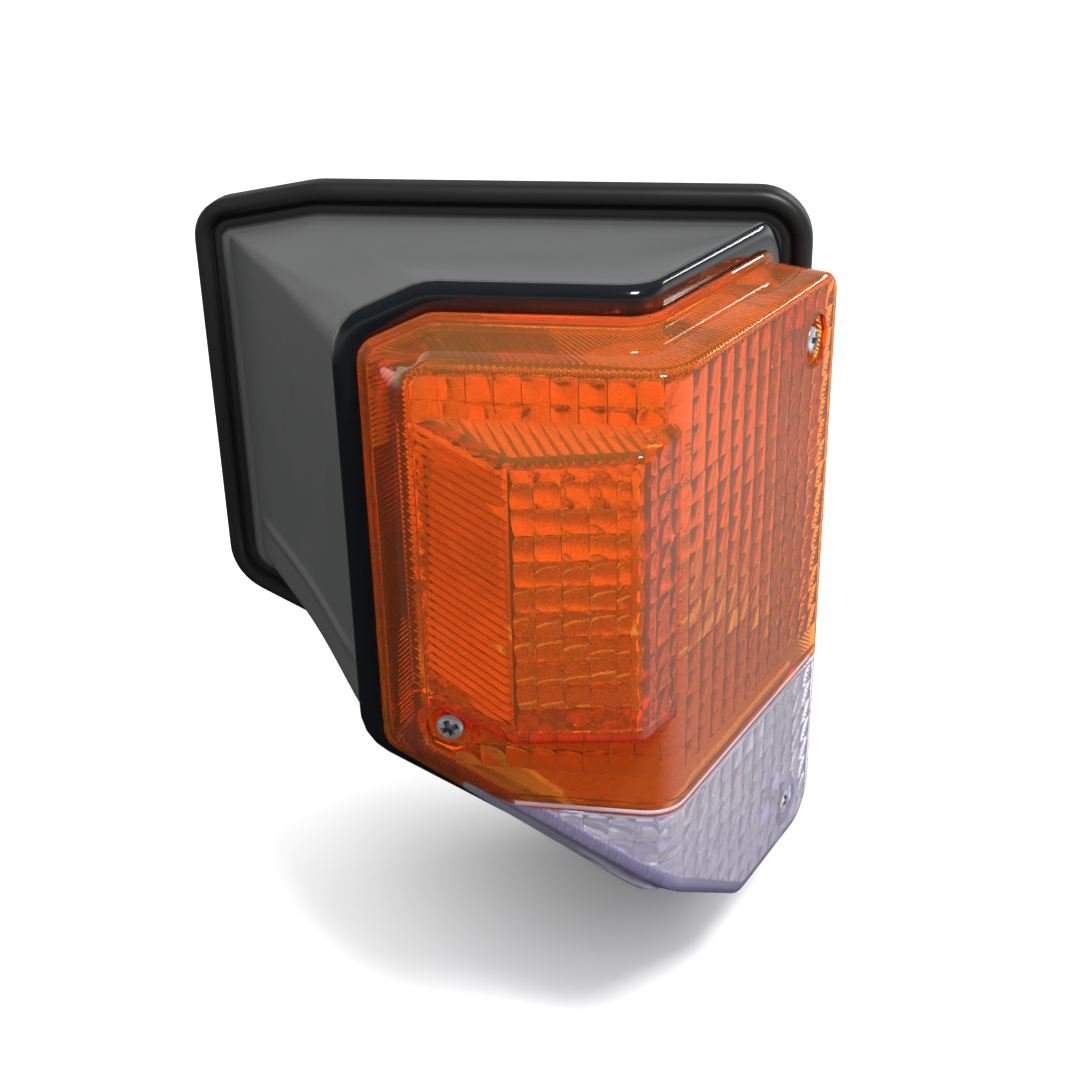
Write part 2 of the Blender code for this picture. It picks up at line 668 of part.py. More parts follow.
def make_bulb(bulb):
    name, seat = bulb["name"], bulb_seat(bulb)
    glass_r = bulb["glass_r"]
    tip = CAP_FRONT + bulb["length"] - 12.0
    middle = tip - glass_r

    outer, inner = [], []
    for step in range(9):
        angle = math.radians(90 - 13.5 * step)
        outer.append((glass_r * math.cos(angle), middle + glass_r * math.sin(angle)))
        inner.append(((glass_r - 0.9) * math.cos(angle), middle + (glass_r - 0.9) * math.sin(angle)))
    outer[0], inner[0] = (0, tip), (0, tip - 0.9)
    neck = CAP_R - 1.0
    profile = outer + [(neck, CAP_FRONT + 5.0), (neck, CAP_FRONT + GAP),
                       (neck - 0.9, CAP_FRONT + GAP), (neck - 0.9, CAP_FRONT + 5.0)]
    profile += list(reversed(inner))
    turned(name + "_bulb_glass", profile, seat, BULB_WAY, GLASS)

    def cap(work):
        cylinder(work, seat, BULB_WAY, CAP_R, CAP_REAR, CAP_FRONT)
    body = solid(name + "_bulb_cap", cap, NICKEL)

    def pins(work):
        across = frame_at(seat, BULB_WAY).to_3x3() @ Vector((1, 0, 0))
        place = seat + BULB_WAY * PIN_HEIGHT
        cylinder(work, place, across, PIN_R, -CAP_R - 1.1, CAP_R + 1.1, 12)
    boolean(body, cutter(name + "_pins", pins), "UNION")

    stem = middle - 2.0
    half = min(4.5, glass_r * 0.4)
    points = [(-2.0, 0, CAP_FRONT + GAP + 0.5), (-2.0, 0, stem - 6.0), (-half, 0, stem)]
    turns, per_turn = 5, 6
    for step in range(turns * per_turn + 1):
        share = step / (turns * per_turn)
        angle = 2 * math.pi * turns * share
        points.append((-half + 2 * half * share, 0.8 * math.sin(angle), stem + 0.8 - 0.8 * math.cos(angle)))
    points += [(half, 0, stem - 0.6), (2.0, 0, stem - 6.0), (2.0, 0, CAP_FRONT + GAP + 0.5)]
    wire(name + "_filament", points, 0.28, STEEL, seat, BULB_WAY)


def make_socket(bulb):
    name, seat = bulb["name"], bulb_seat(bulb)
    profile = [(SOCKET_INNER, 6.5), (SOCKET_OUTER, 6.5), (SOCKET_OUTER, -2.2 - GAP),
               (SOCKET_OUTER + 2.4, -2.2 - GAP), (SOCKET_OUTER + 2.4, -3.6),
               (SOCKET_OUTER, -3.6), (SOCKET_OUTER, -22.0), (SOCKET_INNER, -22.0)]
    shell = turned(name + "_socket", profile, seat, BULB_WAY, NICKEL, 32)

    def slots(work):
        base = frame_at(seat, BULB_WAY)
        low = PIN_HEIGHT - PUSH - PIN_R - 0.4
        high = PIN_HEIGHT + PIN_R + 0.4
        for start in (0.0, math.pi):
            for step in range(5):
                turn = Matrix.Rotation(start + PIN_TURN * step / 4, 4, "Z")
                shift = Matrix.Translation((SOCKET_INNER + 0.5, 0, (low + high) / 2))
                size = Matrix.Diagonal((4.0, 2 * PIN_R + 1.0, high - low, 1))
                bmesh.ops.create_cube(work, size=1.0, matrix=base @ turn @ shift @ size)
    boolean(shell, cutter(name + "_slot_tool", slots), "DIFFERENCE").use_self = True

    ring = [(3.2, -18.0), (SOCKET_INNER - 0.3, -18.0), (SOCKET_INNER - 0.3, -22.0), (3.2, -22.0)]
    turned(name + "_socket_base", ring, seat, BULB_WAY, BAKELITE, 24)
    disc = [(0, CAP_REAR - GAP), (SOCKET_INNER - 0.3, CAP_REAR - GAP),
            (SOCKET_INNER - 0.3, -10.6), (0, -10.6)]
    turned(name + "_contact_disc", disc, seat, BULB_WAY, BAKELITE, 24)
    turns, per_turn = 3.5, 10
    steps = int(turns * per_turn)
    points = []
    for step in range(steps + 1):
        angle = 2 * math.pi * step / per_turn
        z = -11.4 - 4.6 * step / steps
        points.append((5.0 * math.cos(angle), 5.0 * math.sin(angle), z))
    wire(name + "_contact_spring", points, 0.4, STEEL, seat, BULB_WAY)

    def blade(work):
        base = frame_at(seat, BULB_WAY)
        place = base @ Matrix.Translation((0, 0, -22.5)) @ Matrix.Diagonal((0.8, 4.0, 7.5, 1))
        bmesh.ops.create_cube(work, size=1.0, matrix=place)
    solid(name + "_terminal", blade, BRASS, smooth=False)


# ---- lens screws --------------------------------------------------------------------------
def make_lens_screw(name, screw):
    at, out = screw["at"], screw["out"]
    seat = -POCKET_DEPTH + GAP
    head_h, head_r, thread_r = LENS_SCREW["head_h"], LENS_SCREW["head_r"], LENS_SCREW["thread_r"]
    tip = seat - LENS_SCREW["length"]
    profile = [(0, seat + head_h), (head_r * 0.55, seat + head_h - 0.25),
               (head_r * 0.85, seat + head_h - 0.9), (head_r, seat + head_h - 1.9), (head_r, seat),
               (thread_r, seat), (thread_r, tip + 2.0), (0.6, tip), (0, tip)]
    body = turned("lens_screw_" + name, profile, at, out, ZINC, 24)

    def recess(work):
        base = frame_at(at, out)
        for turn in (0.0, math.pi / 2):
            place = base @ Matrix.Rotation(turn + 0.4, 4, "Z")
            place = place @ Matrix.Translation((0, 0, seat + head_h)) @ Matrix.Diagonal((4.4, 0.9, 2.8, 1))
            bmesh.ops.create_cube(work, size=1.0, matrix=place)
    boolean(body, cutter("recess_" + name, recess), "DIFFERENCE").use_self = True
    ring = [(2.3, -BOSS_DEPTH - 0.8), (3.3, -BOSS_DEPTH - 0.8), (3.3, -BOSS_DEPTH - 8.0),
            (2.3, -BOSS_DEPTH - 8.0)]
    turned("screw_insert_" + name, ring, at, out, BRASS, 20)


make_lens()
make_rim()
make_housing()
make_seal()
make_cover()
make_studs()
make_grommet_and_vent()
make_tray()
make_divider()
for BULB in (TURN_BULB, PARK_BULB):
    make_bulb(BULB)
    make_socket(BULB)
for NAME, SCREW in LENS_SCREW_PLACES.items():
    make_lens_screw(NAME, SCREW)
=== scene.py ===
"""Looks of the front corner lamp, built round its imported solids.

Shapes are worked out in millimetres and become metres when their mesh is made.  The lens is
shaped in lens space (along the bent plan path, behind the front face, height) and bent last.
"""

import json
import math

import bmesh
import bpy
import numpy as np
from mathutils import Matrix, Vector


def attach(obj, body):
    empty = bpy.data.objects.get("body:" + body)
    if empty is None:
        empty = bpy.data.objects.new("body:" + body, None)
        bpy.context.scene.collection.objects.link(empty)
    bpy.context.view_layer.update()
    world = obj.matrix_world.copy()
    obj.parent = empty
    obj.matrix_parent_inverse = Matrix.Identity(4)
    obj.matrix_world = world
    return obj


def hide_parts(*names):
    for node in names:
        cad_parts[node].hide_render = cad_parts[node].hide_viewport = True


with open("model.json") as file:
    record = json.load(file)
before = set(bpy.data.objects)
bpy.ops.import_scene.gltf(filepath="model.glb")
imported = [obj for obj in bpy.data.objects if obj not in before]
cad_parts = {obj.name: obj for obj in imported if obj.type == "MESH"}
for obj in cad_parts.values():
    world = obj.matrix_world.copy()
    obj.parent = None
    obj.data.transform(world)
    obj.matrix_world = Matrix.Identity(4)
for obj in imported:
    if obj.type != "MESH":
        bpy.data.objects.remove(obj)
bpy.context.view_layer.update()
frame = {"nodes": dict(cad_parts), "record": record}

MM = 0.001
NODES = frame["nodes"]


# ---- camera -------------------------------------------------------------------------------
CAMERA_PLACE = Vector((100.911, -503.576, 215.842))
CAMERA_PITCH, CAMERA_AROUND, CAMERA_ROLL = 24.6, 10.0, -1.33
CAMERA_LENS, CAMERA_SENSOR = 50.8, 36.0


def make_camera():
    """Camera that looks down, from a little inboard of the lamp's corner."""
    pitch, around, roll = (math.radians(angle)
                           for angle in (CAMERA_PITCH, CAMERA_AROUND, CAMERA_ROLL))
    forward = Vector((-math.sin(around) * math.cos(pitch), math.cos(around) * math.cos(pitch),
                      -math.sin(pitch)))
    level = Vector((math.cos(around), math.sin(around), 0.0))
    upright = level.cross(forward)
    right = level * math.cos(roll) + upright * math.sin(roll)
    up = upright * math.cos(roll) - level * math.sin(roll)
    data = bpy.data.cameras.new("camera")
    data.lens = CAMERA_LENS
    data.sensor_width = CAMERA_SENSOR
    data.clip_start = 0.01
    camera = bpy.data.objects.new("camera", data)
    bpy.context.scene.collection.objects.link(camera)
    place = Matrix((right, up, -forward)).transposed().to_4x4()
    place.translation = CAMERA_PLACE * MM
    camera.matrix_world = place
    bpy.context.scene.camera = camera


make_camera()

# ---- the lamp's own dimensions, as in the solids ------------------------------------------
CORNER_X, FRONT_Y = 74.0, -150.0
SIDE_LEAN = math.radians(21)
SEAT_CORNER_X, SEAT_Y = 62.2, -106.6
BEND = 9.0
LENS_WALL = 2.6
JOINT_Z, JOINT_SEAM, JOINT_TURN = -32.0, 0.3, math.radians(19)
JOINT_FOOT = (19.0, -150.0)
BLOCK_FOOT_X, BLOCK_LEFT = 6.5, (33.7, -171.8)
BLOCK_RIGHT_REACH = 16.4
BLOCK_TOP, BLOCK_BOTTOM, BLOCK_DRAFT = 84.4, -1.5, 3.0
LENS_DEPTH = SEAT_Y - FRONT_Y

FRONT_OUTLINE = {"low_in": (-71, -17.3, 6), "top_in": (-71, 93, 6), "top_cut": (-65, 98, 6),
                 "top_out": (110.9, 98, 7), "low_out": (110.9, -95, 14),
                 "low_bend": (51, -93, 14), "low_mid": (0, -57, 6)}
SEAT_OUTLINE = {"low_in": (-82.5, -40.5, 7), "top_in": (-82.5, 89, 8), "top_cut": (-61, 99, 14),
                "top_out": (88, 99, 8), "low_out": (88, -113, 16),
                "low_bend": (42, -111, 16), "low_mid": (0, -90.7, 6)}
RIM_OUTLINE = {"low_in": (-81.6, -37.5, 7), "top_in": (-81.6, 88.4, 7), "top_cut": (-60.6, 98, 13),
               "top_out": (87.1, 98, 8), "low_out": (87.1, -103, 14),
               "low_bend": (42, -101, 16), "low_mid": (0, -80.7, 6)}
FLANGE_OUTLINE = {"low_in": (-167.7, -35, 20), "top_in": (-167.7, 105.5, 14),
                  "top_cut": (-124, 113.3, 30), "top_out": (43.3, 113.3, 18),
                  "low_out": (43.3, -128, 20), "low_bend": (15, -128, 18),
                  "low_mid": (0, -122, 6)}
CORNERS = ("low_in", "top_in", "top_cut", "top_out", "low_out", "low_bend", "low_mid")
SIDE_WAY = Vector((math.sin(SIDE_LEAN), math.cos(SIDE_LEAN), 0.0))
SIDE_OUT = Vector((math.cos(SIDE_LEAN), -math.sin(SIDE_LEAN), 0.0))
UP = Vector((0, 0, 1))


def plan_point(along, behind):
    """Point on the lens's bent plan path, a distance behind the front face."""
    share = behind / LENS_DEPTH
    corner = Vector((CORNER_X, FRONT_Y, 0)).lerp(Vector((SEAT_CORNER_X, SEAT_Y, 0)), share)
    if along <= -BEND:
        return corner + Vector((along, 0, 0))
    if along >= BEND:
        return corner + SIDE_WAY * along
    share = (along + BEND) / (2 * BEND)
    inner = corner + Vector((-BEND, 0, 0))
    outer = corner + SIDE_WAY * BEND
    return inner * (1 - share) ** 2 + corner * 2 * share * (1 - share) + outer * share ** 2


def side_point(along, z):
    return Vector((CORNER_X, FRONT_Y, 0)) + SIDE_WAY * along + Vector((0, 0, z))


SCREWS = {"front": (Vector((11.6, FRONT_Y, -8.1)), Vector((0, -1, 0)), 6.5),
          "side_upper": (side_point(94.0, 80.0), SIDE_OUT, 8.0),
          "side_lower": (side_point(90.0, -80.0), SIDE_OUT, 6.0)}
POCKET_DEPTH = 3.2


# ---- outlines -----------------------------------------------------------------------------
def round_corner(before, corner, after, radius, steps):
    """Points of the round that replaces a corner."""
    to_before, to_after = (before - corner).normalized(), (after - corner).normalized()
    half = to_before.angle(to_after) / 2
    centre = corner + (to_before + to_after).normalized() * (radius / math.sin(half))
    start = corner + to_before * (radius / math.tan(half)) - centre
    sweep = math.pi - 2 * half
    turn = 1 if to_before.cross(to_after) < 0 else -1
    return [centre + Matrix.Rotation(turn * sweep * step / steps, 2) @ start
            for step in range(steps + 1)]


def shape_of(outline, inset, steps=14):
    """Closed run of (along, height) points, and the distance run at each of them."""
    points = [Vector(outline[name][:2]) for name in CORNERS]
    moved = []
    for index, here in enumerate(points):
        before = (here - points[index - 1]).normalized()
        after = (points[(index + 1) % len(points)] - here).normalized()
        into_before = Vector((before.y, -before.x))
        bisector = (into_before + Vector((after.y, -after.x))).normalized()
        moved.append(here + bisector * (inset / bisector.dot(into_before)))
    run = []
    for index, name in enumerate(CORNERS):
        radius = max(outline[name][2] - inset, 0.6)
        run += round_corner(moved[index - 1], moved[index], moved[(index + 1) % len(moved)],
                            radius, steps)
    run = np.array([tuple(p) for p in run + run[:1]])
    lengths = np.linalg.norm(np.diff(run, axis=0), axis=1)
    return run, np.concatenate([[0.0], np.cumsum(lengths)])


def stations(outline, count):
    """Evenly spaced places round an outline, as places in its run of points."""
    _, run = shape_of(outline, 0.0)
    return np.interp(np.linspace(0, run[-1], count, endpoint=False), run, np.arange(len(run)))


def row_of(outline, inset, behind, places, shift=0.0):
    """(along, behind, height) at the places, moved round the outline by shift."""
    points, run = shape_of(outline, inset)
    at = (np.interp(places, np.arange(len(run)), run) + shift) % run[-1]
    return np.column_stack([np.interp(at, run, points[:, 0]), np.full(len(at), float(behind)),
                            np.interp(at, run, points[:, 1])])


def mixed(first, second, share):
    return first * (1 - share) + second * share


def rounded(first, corner, second, steps):
    """Rows of a soft edge from first to second, drawn towards the corner row."""
    rows = []
    for step in range(steps + 1):
        t = step / steps
        rows.append(first * (1 - t) ** 2 + corner * 2 * t * (1 - t) + second * t * t)
    return rows


# ---- mesh helpers -------------------------------------------------------------------------
def add_rows(work, rows, closed=False, capped=False):
    """Skin over closed rows of points; closed joins the last row to the first."""
    rings = [[work.verts.new(point) for point in row] for row in rows]
    pairs = list(zip(rings, rings[1:]))
    if closed:
        pairs.append((rings[-1], rings[0]))
    for low, high in pairs:
        for index in range(len(low)):
            after = (index + 1) % len(low)
            work.faces.new((low[index], low[after], high[after], high[index]))
    if capped:
        work.faces.new(rings[0])
        work.faces.new(rings[-1])


def bend_cuts(work, step=1.5):
    """Cut the faces that cross the plan corner, so that they can follow its round."""
    for cut in np.arange(-BEND, BEND + 0.01, step):
        geometry = work.verts[:] + work.edges[:] + work.faces[:]
        bmesh.ops.bisect_plane(work, geom=geometry, plane_co=(cut, 0, 0), plane_no=(1, 0, 0),
                               dist=0.0001)


def bend_to_plan(work):
    for vert in work.verts:
        along, behind, z = vert.co
        vert.co = plan_point(along, behind) + Vector((0, 0, z))


def new_object(name, work, bent=False):
    """Object from a bmesh in millimetres."""
    if bent:
        bend_cuts(work)
        bend_to_plan(work)
    bmesh.ops.scale(work, vec=(MM, MM, MM), verts=work.verts)
    bmesh.ops.recalc_face_normals(work, faces=work.faces)
    mesh = bpy.data.meshes.new(name)
    work.to_mesh(mesh)
    work.free()
    made = bpy.data.objects.new(name, mesh)
    bpy.context.scene.collection.objects.link(made)
    return made


def built(name, build, bent=False):
    """Object whose bmesh is filled by build."""
    work = bmesh.new()
    build(work)
    return new_object(name, work, bent)


def combine(target, steps):
    """Apply (operation, tool) pairs to the target's mesh, and drop the tools."""
    for operation, tool in steps:
        step = target.modifiers.new("step", "BOOLEAN")
        step.operation = operation
        step.object = tool
        step.solver = "MANIFOLD"
    graph = bpy.context.evaluated_depsgraph_get()
    mesh = bpy.data.meshes.new_from_object(target.evaluated_get(graph))
    target.modifiers.clear()
    target.data = mesh
    for _, tool in steps:
        bpy.data.objects.remove(tool)
    return target


def frame_at(origin, axis, spin=0.0):
    """Matrix whose Z runs along the axis from the origin."""
    turn = Vector((0, 0, 1)).rotation_difference(Vector(axis)).to_matrix().to_4x4()
    return Matrix.Translation(Vector(origin)) @ turn @ Matrix.Rotation(spin, 4, "Z")


def turned(work, profile, place, steps=48):
    """Turned solid from (radius, height) pairs; a run that keeps off the axis makes a ring."""
    rings = []
    for radius, height in profile:
        if radius == 0:
            rings.append([work.verts.new(place @ Vector((0, 0, height)))])
            continue
        ring = []
        for step in range(steps):
            angle = 2 * math.pi * step / steps
            point = Vector((radius * math.cos(angle), radius * math.sin(angle), height))
            ring.append(work.verts.new(place @ point))
        rings.append(ring)
    pairs = list(zip(rings, rings[1:]))
    if profile[0][0] > 0 and profile[-1][0] > 0:
        pairs.append((rings[-1], rings[0]))
    for low, high in pairs:
        for step in range(steps):
            after = (step + 1) % steps
            if len(low) == 1 and len(high) == 1:
                continue
            if len(low) == 1:
                work.faces.new((low[0], high[after], high[step]))
            elif len(high) == 1:
                work.faces.new((low[step], low[after], high[0]))
            else:
                work.faces.new((low[step], low[after], high[after], high[step]))


def grid_solid(work, place, u_at, v_at, height, back):
    """Slab with a relief: place takes (u, v, depth), height gives the relief's depth."""
    front = [[work.verts.new(place(u, v, height(u, v))) for v in v_at] for u in u_at]
    rear = {}
    last_u, last_v = len(u_at) - 1, len(v_at) - 1
    border = [(i, 0) for i in range(last_u)] + [(last_u, j) for j in range(last_v)]
    border += [(i, last_v) for i in range(last_u, 0, -1)] + [(0, j) for j in range(last_v, 0, -1)]
    for i, j in border:
        rear[i, j] = work.verts.new(place(u_at[i], v_at[j], back))
    for i in range(last_u):
        for j in range(last_v):
            work.faces.new((front[i][j], front[i + 1][j], front[i + 1][j + 1], front[i][j + 1]))
    for index, (i, j) in enumerate(border):
        m, n = border[(index + 1) % len(border)]
        work.faces.new((front[i][j], front[m][n], rear[m, n], rear[i, j]))
    work.faces.new([rear[key] for key in border])


def comb_solid(work, origin, across, way, out, pitch, count, depth, length, base):
    """Row of V ribs: ridges along way, side by side along across, points towards out."""
    profile = [origin - out * base]
    for rib in range(count):
        profile.append(origin + across * (pitch * rib))
        profile.append(origin + across * (pitch * (rib + 0.5)) + out * depth)
    profile.append(origin + across * (pitch * count))
    profile.append(origin + across * (pitch * count) - out * base)
    near = [work.verts.new(point) for point in profile]
    far = [work.verts.new(point + way * length) for point in profile]
    work.faces.new(near)
    work.faces.new(list(reversed(far)))
    for index in range(len(near)):
        after = (index + 1) % len(near)
        work.faces.new((near[after], near[index], far[index], far[after]))


# ---- lens ---------------------------------------------------------------------------------
LIP_DEPTH, SKIRT_LENGTH, SKIRT_INSET = 2.2, 5.5, 0.8
RIB_PITCH, RIB_DEPTH = 1.65, 0.6
RIB_SHIFT = 9.0
FRONT_CELL, SIDE_CELL = 7.2, 8.2
CELLS_LEFT, CELLS_LOW, CELLS_RIGHT, CELLS_HIGH = -67.6, -92.0, 107.0, 95.0
BEND_CELL_START, SIDE_CELL_START = -2.8, 7.0
PANEL_BACK = 9.0
SAMPLES = (0.012, 0.08, 0.2, 0.35, 0.5, 0.65, 0.8, 0.92, 0.988)
FRONT_BULGE, SIDE_BULGE = 1.3, 0.95
JOINT_BAND = (-34.6, -20.0)
FLUTE = {"lean": 0.24, "upright": 0.8, "crisp": 0.3}


def lens_outer(work):
    """Outer skin with its skirt, lip, drafted wall and soft front edge."""
    places = stations(SEAT_OUTLINE, 300)
    lip = LENS_DEPTH - LIP_DEPTH
    wall = row_of(SEAT_OUTLINE, 2.4, lip - 0.8, places)
    edge = row_of(FRONT_OUTLINE, 0.0, 0.0, places)
    rows = [row_of(RIM_OUTLINE, SKIRT_INSET, LENS_DEPTH + SKIRT_LENGTH, places),
            row_of(RIM_OUTLINE, SKIRT_INSET, LENS_DEPTH, places),
            row_of(SEAT_OUTLINE, 0.4, LENS_DEPTH, places),
            row_of(SEAT_OUTLINE, 0.0, LENS_DEPTH - 0.5, places),
            row_of(SEAT_OUTLINE, 0.0, lip + 0.6, places),
            row_of(SEAT_OUTLINE, 0.25, lip + 0.15, places),
            row_of(SEAT_OUTLINE, 0.8, lip, places),
            row_of(SEAT_OUTLINE, 1.9, lip - 0.15, places), wall]
    rows += [mixed(wall, edge, share) for share in (0.3, 0.6)]
    rows += rounded(mixed(wall, edge, 0.88), edge,
                    row_of(FRONT_OUTLINE, 3.6, 0.0, places), 8)
    add_rows(work, rows, capped=True)


def ribbed(outline, inset, behind, shift):
    """Row that runs in and out, for V ribs all round a wall."""
    _, run = shape_of(SEAT_OUTLINE, 0.0)
    ribs = int(run[-1] / RIB_PITCH)
    places = stations(SEAT_OUTLINE, 2 * ribs)
    ridge = (np.arange(2 * ribs) % 2 == 0)[:, None]
    low = row_of(outline, inset, behind, places, shift)
    high = row_of(outline, inset + RIB_DEPTH, behind, places, shift)
    return np.where(ridge, low, high)


def lens_inner(work):
    """Hollow whose wall carries fine V ribs from the seat to the front edge."""
    _, run = shape_of(SEAT_OUTLINE, 0.0)
    places = stations(SEAT_OUTLINE, 2 * int(run[-1] / RIB_PITCH))
    skirt = SKIRT_INSET + LENS_WALL
    rows = [row_of(RIM_OUTLINE, skirt, LENS_DEPTH + 9.0, places),
            row_of(RIM_OUTLINE, skirt, LENS_DEPTH - LIP_DEPTH, places),
            ribbed(SEAT_OUTLINE, 4.6, LENS_DEPTH - 2.6, 0.0),
            ribbed(FRONT_OUTLINE, LENS_WALL - 0.3, 4.8, RIB_SHIFT)]
    add_rows(work, rows, capped=True)


def cell_marks(start, pitch, stop):
    """Sample places across cells, close to each border on both sides of it."""
    marks = []
    count = int(math.ceil((stop - start) / pitch))
    for cell in range(count):
        marks += [start + pitch * (cell + share) for share in SAMPLES]
    return marks


def pillow(u, v, size, start, bulge, lean=0.5, upright=1.0, crisp=0.45):
    """Height of a cushion cell; every cell leans its own way a little."""
    s, t = (u - start[0]) / size[0], (v - start[1]) / size[1]
    column, row = math.floor(s), math.floor(t)
    s, t = s - column - 0.5, t - row - 0.5
    lean_s = lean * math.sin(12.9 * column + 7.3 * row)
    lean_t = lean * math.cos(5.1 * column + 9.7 * row) * upright
    edge = 0.5 * (2 * abs(s)) ** 3 + 0.5 * (2 * abs(t)) ** 3 * upright
    return bulge * (1 - 0.45 * (2 * s * s + 2 * t * t * upright) - crisp * edge
                    + lean_s * s + lean_t * t - 0.5 * lean)


def face_relief(work):
    """Relief of the lens's face: pillow cells in front, taller ones round the side."""
    left, bend, side, low = CELLS_LEFT, BEND_CELL_START, SIDE_CELL_START, CELLS_LOW
    u_front = cell_marks(left, FRONT_CELL, bend - 0.1)
    u_bend = cell_marks(bend, side - bend, side)
    u_side = cell_marks(side, SIDE_CELL, CELLS_RIGHT)
    v_at = cell_marks(low, FRONT_CELL, CELLS_HIGH)

    def height(u, v):
        if JOINT_BAND[0] < v < JOINT_BAND[1]:
            return LENS_WALL + (1.2 if v < JOINT_Z + 2.5 else 0.5)
        if u < bend:
            return LENS_WALL + pillow(u, v, (FRONT_CELL, FRONT_CELL), (left, low), FRONT_BULGE)
        if u < side:
            return LENS_WALL + pillow(u, v, (side - bend, FRONT_CELL), (bend, low), SIDE_BULGE)
        return LENS_WALL + pillow(u, v, (SIDE_CELL, FRONT_CELL), (side, low), SIDE_BULGE,
                                  **FLUTE)

    grid_solid(work, lambda u, v, depth: Vector((u, depth, v)),
               u_front + u_bend + u_side, v_at, height, PANEL_BACK)


def face_clip(work):
    """Space that the face's relief may take."""
    add_rows(work, [ribbed(FRONT_OUTLINE, LENS_WALL, behind, RIB_SHIFT)
                    for behind in (1.0, PANEL_BACK - 0.5)], capped=True)


def crossing(point_a, way_a, point_b, way_b):
    """Where two lines in plan meet."""
    across = point_b - point_a
    share = (across.x * way_b.y - across.y * way_b.x) / (way_a.x * way_b.y - way_a.y * way_b.x)
    return point_a + way_a * share


def block_walls(ramp, face, side):
    """Plan points, ways and outward directions of the block's walls, each with its own inset."""
    corner = Vector((CORNER_X, FRONT_Y, 0))
    foot, left = Vector((BLOCK_FOOT_X, FRONT_Y, 0)), Vector((*BLOCK_LEFT, 0))
    right = corner - SIDE_WAY * BLOCK_RIGHT_REACH
    ways = [(b - a).normalized() for a, b in ((foot, left), (left, right), (right, corner))]
    outs = [Vector((way.y, -way.x, 0)) for way in ways]
    starts = [foot - outs[0] * ramp, left - outs[1] * face, right - outs[2] * side]
    plan = [starts[0], crossing(starts[0], ways[0], starts[1], ways[1]),
            crossing(starts[1], ways[1], starts[2], ways[2]), corner - outs[2] * side]
    return plan, ways, outs


BLOCK_RISE = 20.0
BLOCK_RIB, CELL_BULGE = 1.1, 1.4
BLOCK_CELL = (6.8, 7.0)
RAMP_RIB, EDGE_RIB = 2.75, 3.5


def block_body(work, plan, top, bottom):
    """Solid on a plan, its top and bottom drawn in towards the block's face."""
    rows = []
    for base, draft in ((top, -BLOCK_DRAFT), (bottom, BLOCK_DRAFT)):
        row = []
        for point in plan:
            raised = max(0.0, min(1.0, (FRONT_Y - point.y) / BLOCK_RISE))
            row.append(point + Vector((0, 0, base + draft * raised)))
        rows.append(row)
    add_rows(work, rows, capped=True)


def block_outer(work):
    """Raised block with soft edges."""
    plan, ways, _ = block_walls(0.0, 0.0, 0.0)
    plan[0] = plan[0] - ways[0] * 1.5
    plan[3] = plan[3] + ways[2] * 2.0 - SIDE_OUT * 0.02
    plan = [Vector((BLOCK_FOOT_X + 4, FRONT_Y + 2.4, 0)), *plan,
            Vector((CORNER_X - 5, FRONT_Y + 2.4, 0))]
    block_body(work, plan, BLOCK_TOP, BLOCK_BOTTOM)
    soft = []
    for edge in work.edges:
        middle = (edge.verts[0].co + edge.verts[1].co) / 2
        if middle.y < FRONT_Y - 1.5:
            soft.append(edge)
    bmesh.ops.bevel(work, geom=soft, offset=3.0, segments=6, affect="EDGES", profile=0.5)


def block_hollow(work, ramp, face, side, roof, behind):
    """Inside of the block, with an inset for each wall, reaching back past the lens's face."""
    plan, ways, _ = block_walls(ramp, face, side)
    plan[0] = plan[0] - ways[0] * behind
    plan[3] = plan[3] + ways[2] * behind
    block_body(work, plan, BLOCK_TOP - roof, BLOCK_BOTTOM + roof)


def block_ribs(work, which):
    """V ribs on the block's ramp, or along its top or bottom."""
    plan, ways, outs = block_walls(LENS_WALL + BLOCK_RIB, LENS_WALL, LENS_WALL)
    if which == "ramp":
        way = (ways[0] - Vector((0, 0, 0.1))).normalized()
        start = plan[0] - ways[0] * 6.0 + Vector((0, 0, BLOCK_BOTTOM - 2.0))
        comb_solid(work, start, UP, way, outs[0], RAMP_RIB, 36, BLOCK_RIB,
                   46.0, 1.0)
        return
    top = which == "top"
    roof = LENS_WALL + BLOCK_RIB
    height = BLOCK_TOP - roof + 0.8 if top else BLOCK_BOTTOM + roof - 0.8
    lean = Vector((0, 0, (-BLOCK_DRAFT if top else BLOCK_DRAFT) / BLOCK_RISE))
    way = (Vector((0.47, -0.88, 0)) + lean).normalized()
    start = Vector((-8.0, FRONT_Y + 5.0, height))
    comb_solid(work, start, Vector((1, 0, 0)), way, UP if top else -UP, EDGE_RIB, 26,
               BLOCK_RIB, 42.0, 1.5)


def block_clip(work, which):
    """Space that the ribs, or the cells of the face and the side, may take."""
    ribs = which in ("ramp", "top", "bottom")
    wall = LENS_WALL + (0.0 if ribs else BLOCK_RIB)
    face = LENS_WALL + (CELL_BULGE + 0.1 if ribs else 0.0)
    block_hollow(work, wall, face, face, wall, 12.0)


